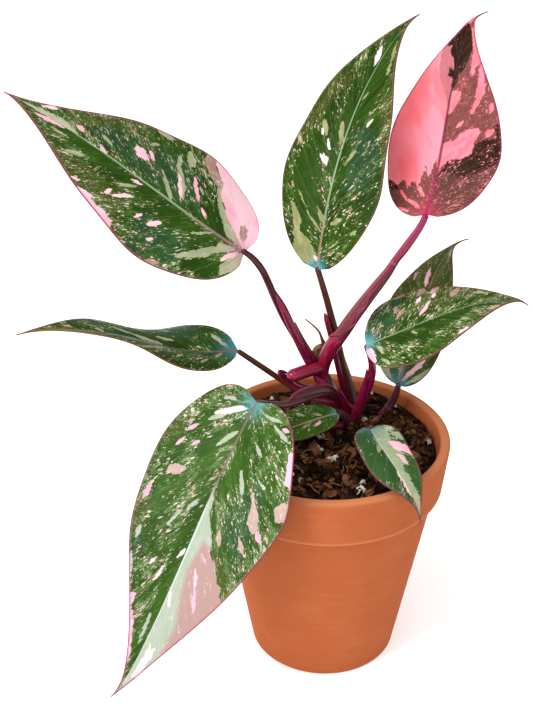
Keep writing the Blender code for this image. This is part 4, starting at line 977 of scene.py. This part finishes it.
# Each leaf: the form of its blade, then its patches in flat millimetres, x along the midrib and y out
# (left is negative). A patch is a closed outline, or a streak of two ends and a half width
leaves = {
    "upper_left": dict(
        base=(-43.5, -4.8, 239.8), length=138, halves=(37, 38.5), heading=(171, 178, 152), rise=(32, 38, 17),
        roll=(6, 19, -8), fold=(-10, 14), camber=6, widest=(0.30, 0.24), lobe=0.05, shoulder=0.29,
        taper=(0.16, 0.19), sweep=0.30, hook=(0, 0), wave=1.1, waves=2.8, phase=0.56, veinGain=1.8,
        pale=[
            [(3, 1.5), (11, 2.7), (14, 5.5), (17.5, 10), (22, 16.5), (26, 24), (27, 28), (24, 28), (20, 19),
             (14, 13), (8, 8), (3, 5)],
            [(42.5, 24.5), (46, 26.5), (47.5, 31), (46, 33), (41.5, 30), (40.5, 26.5)],
            [(97, 0.5), (106, 3.6), (112, 2.6), (121, 1.6), (127, 0.2), (120, -0.8), (108, -0.8)],
            [(30, -27.5), (29, -24.5), (24.5, -19.5), (20, -13.5), (14.5, -8), (11.5, -3), (6, -1), (2.5, -2),
             (7, -5.5), (12.5, -11), (16.5, -17), (21.5, -21), (26, -25)],
            [(6, -21), (8, -17), (6, -11), (3, -3.5), (0, -1), (-1.5, -10), (0.5, -16), (4, -20)],
            (43, 0.6, 55, 13, 1.6), (38, 4, 48, 21, 2.0), (47.5, 17.5, 50, 28, 1.4), (81, 6, 87.5, 8.2, 1.1),
            (56, 33, 66, 31, 1.8), (98, -12, 90, -8.4, 1.5), (109, -5, 100, -4.6, 1.0), (71, -11.5, 60, -4.5, 1.0),
            (28, -10, 20, -2.3, 0.9), (66, 20, 62, 24, 1.0), (31, 15, 34, 18, 1.0)],
        pink=[
            [(6, 5.5), (9, 8), (12, 10.5), (15, 13), (20, 19), (23.5, 23), (24.5, 28), (26.5, 30.5), (29, 33),
             (32.5, 36), (34, 39.5), (20, 41), (5, 36), (-5, 24), (-6, 8), (-3, 1), (1, 0.8)],
            [(86, -25.5), (82.5, -24.5), (77, -24.5), (76, -27), (71, -28), (68.5, -28), (63.5, -30), (62, -37),
             (75, -36), (88, -28)],
            [(64, 10.5), (68, 10), (71.5, 12.5), (71.5, 15.5), (66.5, 15.5), (62.5, 12.5)],
            (39.5, 4, 46, 16, 1.4), (69, -18, 60, -10.5, 1.5), (48.5, -19.5, 43, -14.5, 1.8),
            (55.5, -20, 53, -16.5, 1.2), (73, -20, 71, -15.5, 1.0), (46.5, -27.5, 42, -24, 1.0),
            (65, -4, 60, -2.3, 1.1), (89, -22.5, 85.5, -21, 1.0), (60, 14, 64.5, 17, 1.2),
            (95.5, 3.8, 100, 5.2, 1.4), (118.5, 4, 112, 7.5, 1.4), (81, 0.6, 86.5, 2.3, 1.1),
            (119, -2.4, 104, -0.9, 1.3), (31.5, 10, 39, 21, 1.3), (24, 3.8, 28, 7.7, 1.0), (8.5, -13.5, 3, -3, 1.7)],
        mauve=[
            [(26, 25), (31.5, 27), (36.5, 30.5), (38.5, 34), (39, 41), (33.5, 40), (32, 34.5), (28, 32),
             (24, 30), (23.5, 26.5)],
            [(3, 4), (6, 9), (7, 14), (5.3, 16), (3, 14.5), (2.3, 8)], (41, -36.8, 35, -34, 1.6)],
        calm=[[(14, -3), (40, -1), (110, -1), (112, -6), (90, -7), (50, -9), (25, -12)],
              [(10, 1), (38, 1), (34, 8), (20, 14)], [(5, -12), (20, -20), (24, -28), (12, -28)]],
        warm=[[(55, -37), (100, -24), (108, -12), (66, -14)], [(60, 34), (80, 30), (112, 10), (100, 5), (72, 22)]],
        cool=[[(26, -37), (54, -36), (54, -15), (30, -12)], [(28, 4), (60, 3), (95, 5), (90, 14), (58, 26), (35, 24)]],
        flecks=0.012, ribFade=(0.12, 0.3), ribRoot="#94706f", ribEnd="#8fa486", ribWidth=0.13, flushAndSheenSkin="#c07a92", flush=0.6,
        rimSkin="#a35a5e", rimDeep="#74303c"),
    "top": dict(
        base=(-6.4, 19.3, 219.3), length=145, halves=(31, 31), heading=(65, 54, 38), rise=(76, 55, 33),
        roll=(6, 8, -5), fold=(14, 16), camber=25, widest=(0.35, 0.33), lobe=0.04, shoulder=0.21,
        taper=(0.15, 0.18), sweep=0.32, hook=(-18, -4), wave=1.0, waves=3.0, phase=0.94, veinGain=2.6,
        pale=[
            [(32, -21.5), (30.5, -18.5), (23, -12.5), (18.5, -12.5), (15, -7.5), (10, -3), (4, -1.4), (1.7, -4.2),
             (4, -11), (9, -14.7), (15.6, -15.3), (21.7, -17.5), (28.4, -19.7)],
            [(32, -5.3), (27.3, -0.3), (21.7, -0.8), (26.2, -3.2)],
            [(76, -5.5), (75.6, -3), (67.3, -0.8), (63, -0.8), (68.4, -3.8)],
            (41, -21.5, 30, -11, 0.9), (29, -11, 19.5, -1, 0.8), (124, 3.6, 111, 9.2, 1.1), (111, 9.2, 104, 11, 1.2),
            (54.5, 5.8, 63, 11.4, 1.3), (24.3, 4.7, 28, 11.6, 1.7), (21.5, 19, 24, 21.8, 1.5),
            (40.6, 18, 43.6, 20.5, 1.1), (65, -29.5, 61, -24.5, 1.4), (75, -16, 68, -11, 1.8), (89, 2, 93, 4, 0.9)],
        bright=[
            [(58, -10.8), (56.5, -6), (52.4, -5), (54, -8.2)], (66, -9, 60.6, -6.4, 0.9), (119, -3.8, 108.5, -1.3, 1.4),
            (75, 13, 79, 14.3, 1.3), (71, -15.5, 67.5, -13, 0.9), (88, 15.3, 86, 16, 0.9), (6.5, -2.2, 4, -0.8, 1.2)],
        calm=[[(10, -8), (40, -22), (60, -24), (50, -8), (30, -7)], [(60, -8), (110, -1), (125, 0), (90, 10), (70, 2)],
              [(84, -2), (128, -1), (128, 4), (100, 12), (84, 12)]],
        warm=[[(100, -19), (60, -30), (60, -26), (100, -8)], [(95, 20), (60, 31), (60, 27), (95, 12)]],
        cool=[[(40, 8), (74, 6), (74, 20), (60, 28), (44, 22)]],
        flecks=-0.008, leafGreen="#284604", leafDeep="#152c02", leafHalf="#3f5c22", sage="#767c4c", paleSkin="#989468",
        paleWarm="#a8997c",
        ribFade=(0.1, 0.3), ribRoot="#8c7c62", ribEnd="#86a27c", ribWidth=0.12, baseReach=4.6, flush=1.0,
        flushAndSheenSkin="#48a3b4", rimSkin="#7c5a40", rimDeep="#6a3a38"),
    "pink": dict(
        base=(46.2, 9.6, 253.5), length=121, halves=(29.5, 30), heading=(63, 75, 52), rise=(47, 42, 41),
        roll=(20, -1, 4), fold=(-1, 11), camber=23, widest=(0.26, 0.25), lobe=0.03, shoulder=0.28,
        taper=(0.19, 0.20), sweep=0.31, hook=(-84, -16), wave=2.1, waves=2.7, phase=0.88, veinGain=2.4,
        ground="pink", throughGlow=0.75,
        pale=[[(95, -9.5), (89, -9.2), (80, -8), (73.8, -6), (68.8, -3.7), (61, -0.6), (100, 0), (104, -7)]],
        mauve=[
            [(-20, 0.2), (140, 0.2), (140, 40), (-20, 40)],
            [(20.5, -32), (20.5, -25), (16, -22), (20, -18), (15, -15), (19, -11.5), (15, -9), (27, -6.5), (20, -4),
             (34, -1), (0, 0), (-5, -8), (2, -22), (10, -30)]],
        bright=[
            [(38.8, 0.4), (41, 6.3), (46.6, 10.2), (48.3, 16.3), (47.2, 18), (43.3, 17.4), (41, 15.8), (33.3, 15.8),
             (29.9, 10.8), (29.9, 6.3), (26.6, 3), (24, 0.4)],
            [(55, 0), (69, 0.4), (69.5, 4.5), (65.5, 5.8), (61, 4.4), (56, 1.6)],
            [(107, 1.6), (99, 5), (92, 6.9), (82, 7.8), (77.5, 8.6), (80, 10.4), (83.5, 9.7), (85.5, 11.4), (91, 12),
             (96.6, 9.4), (103, 6.5), (108, 3)],
            [(88, 12), (77, 16), (68, 17), (60.5, 14.5), (56, 12.5), (56.5, 11), (63, 12.8), (73, 12.8), (82, 12)],
            (44.4, 20.8, 48.6, 24.2, 1.7), (62.5, 21.2, 57.5, 22, 1.4), (48, 6, 52, 9, 1.1), (14, -19, 8, -14, 1.1),
            (8, -13, 3, -4, 1.2), (16, -9, 10, -4, 1.1), (4, -20, 2, -12, 1.1)],
        green=[
            [(110, -1), (103.5, -6.8), (97, -8.3), (95, -7), (96, -4.8), (93, -5.5), (88.8, -3.1), (85.5, -1.6),
             (81, -1), (82.7, -3.3), (77.7, -3.3), (77, -1), (69, 0), (74.4, 2), (78.8, 2), (82.7, 4.3), (88.8, 5.4),
             (94.4, 6), (100, 4.3), (106, 2)],
            [(23, 0.4), (29.4, 5.4), (29.9, 10.8), (33.3, 15.8), (38.8, 16.5), (42.2, 20.8), (43.3, 26), (50, 24.7),
             (52.4, 26.5), (46, 34), (20, 40), (-12, 30), (-12, 4), (2, 0.6)], (21, -30, 14.5, -21, 2.3)],
        calm=[[(20, -34), (120, -34), (120, 0), (34, 0)], [(70, -6), (110, -6), (110, 6), (80, 6)]],
        warm=[[(22, 0), (20, 16), (30, 30), (10, 34), (-6, 20), (-4, 0)]],
        flecks=0.02, pinkSkin="#fb93a4", pinkDeep="#fb7c88", brightSkin="#e87988",
        mauveSkin="#7c4a44", mauveDeep="#5c3c34", pinkFleck="#d9838a", sage="#a8686a", cream="#e79aa0",
        leafGreen="#28200d", leafDeep="#171306", leafHalf="#38281d", paintedSheenSkin="#2c2a1a", veinSkin="#d9707f",
        warmSkin="#8a5a50", paleSkin="#b5727a", paleWarm="#b5727a", ribRoot="#8c2450", ribEnd="#43232b",
        ribFade=(0.1, 0.45), ribWidth=0.15,
        flushAndSheenSkin="#b03258", flush=0.7, tipSkin="#6a2a34", rimSkin="#a04a58", rimDeep="#7c2a40", roughness=0.42),
    "narrow_left": dict(
        base=(-47.4, 15.0, 174.6), length=118, halves=(27, 31.5), heading=(185, 187, 169), rise=(-8, 17, -22),
        roll=(21, -17, 3), fold=(29, 28), camber=55, widest=(0.28, 0.35), lobe=0.02, shoulder=0.18,
        taper=(0.23, 0.28), sweep=0.36, hook=(0, 0), wave=0.9, waves=2.7, phase=0.62,
        leafGreen="#2a480b", leafDeep="#193304", leafHalf="#446024", sage="#7d8a62",
        pale=[
            (40, 1.5, 56, 6.5, 1.7), (56, 6.5, 68, 11, 1.8), (71, 3.5, 76, 5, 1.2), (34.5, 6.5, 43, 8.4, 1.4),
            (35, 16.5, 40.5, 17.6, 1.2), (4.7, 1.5, 14, 12, 1.2), (55, -23.5, 40, -12.4, 1.2), (36, -20, 31.5, -15.5, 1.0),
            (22, -19, 17, -13, 1.0), (88, 3, 93, 4.4, 0.9), (50, 14, 58, 20, 1.5)],
        mauve=[(13.5, -11.5, 8.5, -2.4, 1.1)],
        calm=[[(20, 2), (70, 2), (60, 12), (30, 12)]],
        cool=[[(20, 8), (45, 8), (50, 30), (20, 24)]],
        warm=[[(90, -10), (118, -4), (118, 4), (90, 4)]],
        flecks=0.004, ribRoot="#7a5a50", ribEnd="#6f8a62", baseReach=9, flushAndSheenSkin="#3f7f86", rimSkin="#8c5648",
        rimDeep="#74402f", tipSkin="#84483a"),
    "lower_left": dict(
        base=(-37.2, -29.8, 169.5), length=166, halves=(43.5, 41), heading=(217, 226, 219),
        rise=(-53, -55, -48), roll=(-6, 10, 30), fold=(2, 15), camber=13, widest=(0.26, 0.30), lobe=0.05,
        shoulder=0.35, taper=(0.15, 0.21), sweep=0.22, hook=(-8, 16), wave=1.7, waves=2.8, phase=0.71, veinGain=2.6,
        pale=[
            [(103, -34), (95, -25), (90.5, -25), (89.4, -21.6), (84, -19.3), (81, -16.6), (78.3, -12.7), (73.8, -12),
             (69.4, -9.3), (65, -6.6), (61, -3.8), (55, -2.7), (48.5, 0), (170, 0), (150, -12), (125, -24)],
            (43.8, -17.2, 33.5, -11, 1.5), (21.8, -20, 18, -14, 1.3), (8.3, -33, 4.4, -19.5, 1.3), (107, 22, 95, 26.5, 1.6),
            (17, 1.8, 28.5, 9.6, 1.4), (12, 12, 19.5, 20.5, 1.4), (3.6, 12, 7.4, 20.5, 1.1), (65.3, 11.7, 74.8, 15.2, 1.3),
            (56, 4.6, 63, 9.2, 1.2), (135, 2.9, 119, 4, 1.2), (88, 27, 81.5, 28, 1.5), (28, 28, 22.5, 30.5, 1.4),
            (3, -10, 1, -24, 1.1), (35, -28, 33, -22, 0.9)],
        mauve=[
            [(46, -42), (48.5, -38.8), (42.7, -36), (39.4, -37), (36, -40.4), (38, -48), (44, -48)],
            [(59.5, -31), (57.2, -27.7), (55, -24.9), (46, -24.3), (38.3, -20.2), (35.5, -19.7), (42.7, -24.8),
             (48.3, -29), (55, -31.4)],
            [(45.5, 18.2), (50.5, 21), (53, 29.2), (48.8, 28.8), (45.5, 23.6)],
            (69.6, -29, 63.5, -24.2, 1.6), (73, -16.2, 65.3, -12, 1.5)],
        pink=[
            [(144, 3.5), (135, 6.8), (125, 10.7), (120.5, 14.4), (112.5, 15), (114.4, 17.9), (110, 20), (84, 33),
             (80, 34), (80, 37), (112, 26), (130, 15), (152, 5)],
            [(28.5, -41), (27, -38), (19.4, -37), (11.5, -35.7), (10, -42), (20, -46), (28, -46)],
            [(61.5, -36.5), (60, -31), (56, -31), (57.5, -34.8)],
            (109.5, -16, 97.2, -12.2, 1.2), (97.2, -12.2, 88.5, -8.6, 1.2), (84, -13.5, 80.3, -7.5, 0.9),
            (137, -12.2, 121, -18.4, 1.3), (71, 34, 60, 34, 1.4), (30, 18.4, 34.2, 22, 1.3), (24, 24.3, 28.8, 28.6, 1.5),
            (32.5, 27.2, 38.5, 30.2, 1.2), (3, -29.5, 3.6, -25.5, 1.2), (28, -34.2, 25, -31.8, 1.0)],
        bright=[
            [(138, -6.2), (149, -5), (152, -2), (131, -2.5), (135, -4.3), (132.5, -6.2)], (112, -3.3, 104.5, -0.9, 1.2),
            (4.6, 2.4, 15, 19, 1.9), (82, 1.1, 87.4, 3, 1.3), (94.5, 8, 103, 9.7, 1.2), (92, 13.6, 96, 15, 1.0)],
        calm=[[(12, -4), (48, -2), (46, -12), (20, -14)], [(50, 0), (150, 0), (140, 4), (80, 8), (50, 6)],
              [(20, 8), (40, 6), (44, 16), (30, 18)]],
        warm=[[(86, 30), (76, 26), (66, 30), (66, 44), (84, 40)], [(40, 34), (20, 26), (10, 30), (20, 42), (40, 44)],
              [(134, -9), (118, -10), (104, -6), (90, -4), (74, -6), (76, -20), (88, -30), (104, -36), (140, -20)]],
        cool=[[(40, -30), (80, -30), (62, -10), (30, -26)], [(110, 24), (90, 20), (84, 30), (98, 32)]],
        flecks=0.016, leafGreen="#37581a", leafDeep="#234009", leafHalf="#5a7440", sage="#98a287",
        pinkSkin="#ecb4c4", pinkDeep="#e09ab0", brightSkin="#e6c9cc",
        paleSkin="#a2aaa0", paleWarm="#a5807c", mauveSkin="#b89a92", mauveDeep="#9f8f80",
        ribRoot="#7a5e58", ribEnd="#c4d0ce", ribFade=(0.26, 0.38), ribWidth=0.11, baseReach=7, flush=0.8, flushAndSheenSkin="#4a8f95",
        rimSkin="#b06070", rimDeep="#7c3446"),
    "right": dict(
        base=(18.9, 5.1, 183.0), length=92, halves=(23.5, 24), heading=(-11, 7, 23), rise=(27, 18, -25),
        roll=(-23, -12, -3), fold=(16, 8), camber=22, widest=(0.26, 0.26), lobe=0.01, shoulder=0.24,
        taper=(0.22, 0.25), sweep=0.30, hook=(-3, -19), wave=0.5, waves=2.7, phase=0.81,
        pink=[
            [(1, 3.2), (3.7, 5), (5, 10), (4.6, 14.5), (0, 14), (-2, 7)], (35.6, -16.2, 32, -12.5, 1.5),
            (39, -10.2, 31.5, -4.2, 1.3), (51.5, 16, 46, 17.2, 1.2), (44, -15, 41, -12, 1.1)],
        pale=[
            (6.5, 3.4, 10, 13, 1.3), (25.2, 3.8, 28.6, 8, 1.2), (57, 5, 61, 8, 0.9), (50, 8, 54, 11, 0.9),
            (71, 5, 64, 6.8, 1.0), (68, -6, 62, -8, 1.0), (8, 14, 12, 19, 1.0)],
        mauve=[
            (39, -21, 34, -17, 2.2), (26.8, -14, 18.5, -7, 1.2), (21, -16.5, 20, -11, 1.2), (56, -13.6, 49.5, -8.6, 1.9),
            (30, -23, 20, -22.5, 1.3), (46, -18, 41, -15.5, 1.5)],
        calm=[[(10, 1), (60, 1), (50, 8), (20, 12)]],
        warm=[[(30, -24), (66, -10), (64, -4), (30, -8)], [(40, 24), (60, 14), (90, 2), (80, -2), (44, 18)]],
        cool=[[(4, -22), (26, -22), (20, -4), (4, -4)]],
        flecks=0.03, ribRoot="#8a9a86", ribEnd="#7f9066", ribFade=(0.05, 0.3), ribWidth=0.065, baseReach=5, flush=1.0,
        flushAndSheenSkin="#58a4b2", rimSkin="#8a564a", rimDeep="#6c3440", tipSkin="#7c4a40"),
    "right_back": dict(
        base=(39.5, 29.1, 144.8), length=104, halves=(20.5, 21.5), heading=(51, 64, 42), rise=(58, 39, 0),
        roll=(-4, 13, 29), fold=(11, 23), camber=14, widest=(0.32, 0.31), lobe=0.01, shoulder=0.28,
        taper=(0.23, 0.26), sweep=0.39, hook=(-12, -4), wave=0.9, waves=2.8, phase=0.70,
        pale=[
            (3, 3, 22, 15, 1.8), (2, 5, 15, 21, 1.7), (3, -0.8, 24, -2.6, 1.3), (2, -4, 14, -15, 1.2),
            (85.5, 2.8, 77.5, 6.6, 1.1),
            (67.5, -11.6, 61.5, -11, 1.0), (8, -16, 3, -6, 2.0), (50, 8, 56, 12, 1.2), (36, -10, 30, -6, 1.1)],
        pink=[(71.2, -4.3, 58, -2.4, 1.5), (4, 2, 17, 13.5, 1.6), (44, -8, 38, -5, 1.2)],
        mauve=[(50, 10, 58, 14, 1.0)],
        warm=[[(60, -18), (95, -6), (104, 0), (80, -3), (60, -8)]],
        cool=[[(0, -18), (16, -20), (16, 20), (0, 18)]],
        flecks=-0.01, leafGreen="#46561b", leafDeep="#364512", leafHalf="#5f6a39", ribRoot="#7f6a72", ribEnd="#b58576",
        ribFade=(0.1, 0.4), ribWidth=0.15, baseReach=6, flushAndSheenSkin="#3f8790", flush=0.9, rimSkin="#7c4a3c",
        rimDeep="#5c3030", tipSkin="#6c3c34"),
    "small_centre": dict(
        base=(5.2, 9.5, 138.9), length=51, halves=(12.5, 12.5), heading=(201, 199, 197), rise=(-2, -11, -8),
        roll=(2, 7, 12), fold=(7, 12), camber=14, widest=(0.32, 0.31), lobe=0.08, shoulder=0.24,
        taper=(0.22, 0.22), sweep=0.34, hook=(0, 0), wave=0.4, waves=2.0, phase=0.41,
        pink=[(14.6, -5.6, 10.2, -3.2, 0.9), (19.5, -7.6, 18, -6.8, 0.8)],
        pale=[(16.5, 4.4, 20.3, 7.9, 0.9), (21.5, -4, 18, -2.8, 0.8), (30, -5, 26, -3, 0.9), (8, 1.5, 12, 3.2, 0.8)],
        flecks=-0.02, leafGreen="#365a14", leafDeep="#284a0a", leafHalf="#4f6e30", ribRoot="#8a8a78", ribEnd="#b88478",
        ribFade=(0.1, 0.3), ribWidth=0.09, baseReach=3.4, flush=0.7, flushAndSheenSkin="#4a8a86", rimSkin="#6a5a3c",
        rimDeep="#5a4434"),
    "small_front": dict(
        base=(21.4, -17.4, 146.1), length=65, halves=(13, 14), heading=(276, 303, 333), rise=(9, -27, -86),
        roll=(0, -1, -3), fold=(22, 11), camber=17, widest=(0.33, 0.34), lobe=0.13, shoulder=0.23,
        taper=(0.21, 0.30), sweep=0.35, hook=(0, 0), wave=2.4, waves=1.5, phase=0.90,
        pale=[
            [(1, 0), (2.5, -4), (9.4, -6.9), (16, -6.3), (17.2, -4.6), (21.7, -6.3), (27.2, -7.4), (34.5, -6.9),
             (33, -5), (32.8, -3.1), (48.3, -3.3), (58.3, -2), (62, 0), (50, 0.6), (30, 0.3)],
            (18.5, -12.6, 11, -8.3, 2.0), (11, -8.3, 2, -6.8, 1.7), [(20, 0.6), (22.6, 4.6), (18, 3), (10, 0.3)]],
        pink=[
            [(31.5, -12.8), (26.7, -9.2), (25, -6.5), (16.8, -3.7), (18.3, -7.2), (20.6, -10.8), (24, -14)],
            (34, -6.3, 26.5, -4.6, 1.2)],
        bright=[(48, 1.2, 35, 0.6, 1.0)],
        calm=[[(2, 2), (40, 2), (36, 12), (10, 12)], [(34, -12), (50, -6), (46, -4), (34, -4)]],
        warm=[[(48, -4), (65, -2), (65, 2), (48, 3)]],
        flecks=0.012, leafGreen="#34522c", leafDeep="#2a4a1e", leafHalf="#486648", sage="#84936f", paleSkin="#8d9a7d",
        paleWarm="#b0a184",
        ribRoot="#9a9a9e", ribEnd="#c4a89c", ribFade=(0.1, 0.4), ribWidth=0.08, baseReach=8, flush=0.5,
        flushAndSheenSkin="#4c7c84", rimSkin="#6c5a48", rimDeep="#6a3c44", tipSkin="#8c6c4a"),
}


def makeLeaves():
    for index, (name, leaf) in enumerate(leaves.items()):
        look = {**commonLook, **leaf}
        words = name.replace("_", " ")
        skins = [leafSkin("Leaf face, %s" % words, look, index + 1),
                 leafSkin("Leaf underside, %s" % words, look, index + 1, under=True)]
        piece = addPiece(pieceName(name, "leaf"), bladeShape(leaf), skins,
                         "leaf_pink" if name == "pink" else "leaf_green", "leaf_" + name)
        addThickness(piece)
        print("leaf:", words, len(piece.data.polygons), "faces")


makeStudio()
makePot()
makeSoil()
makeStalks()
makeLeaves()
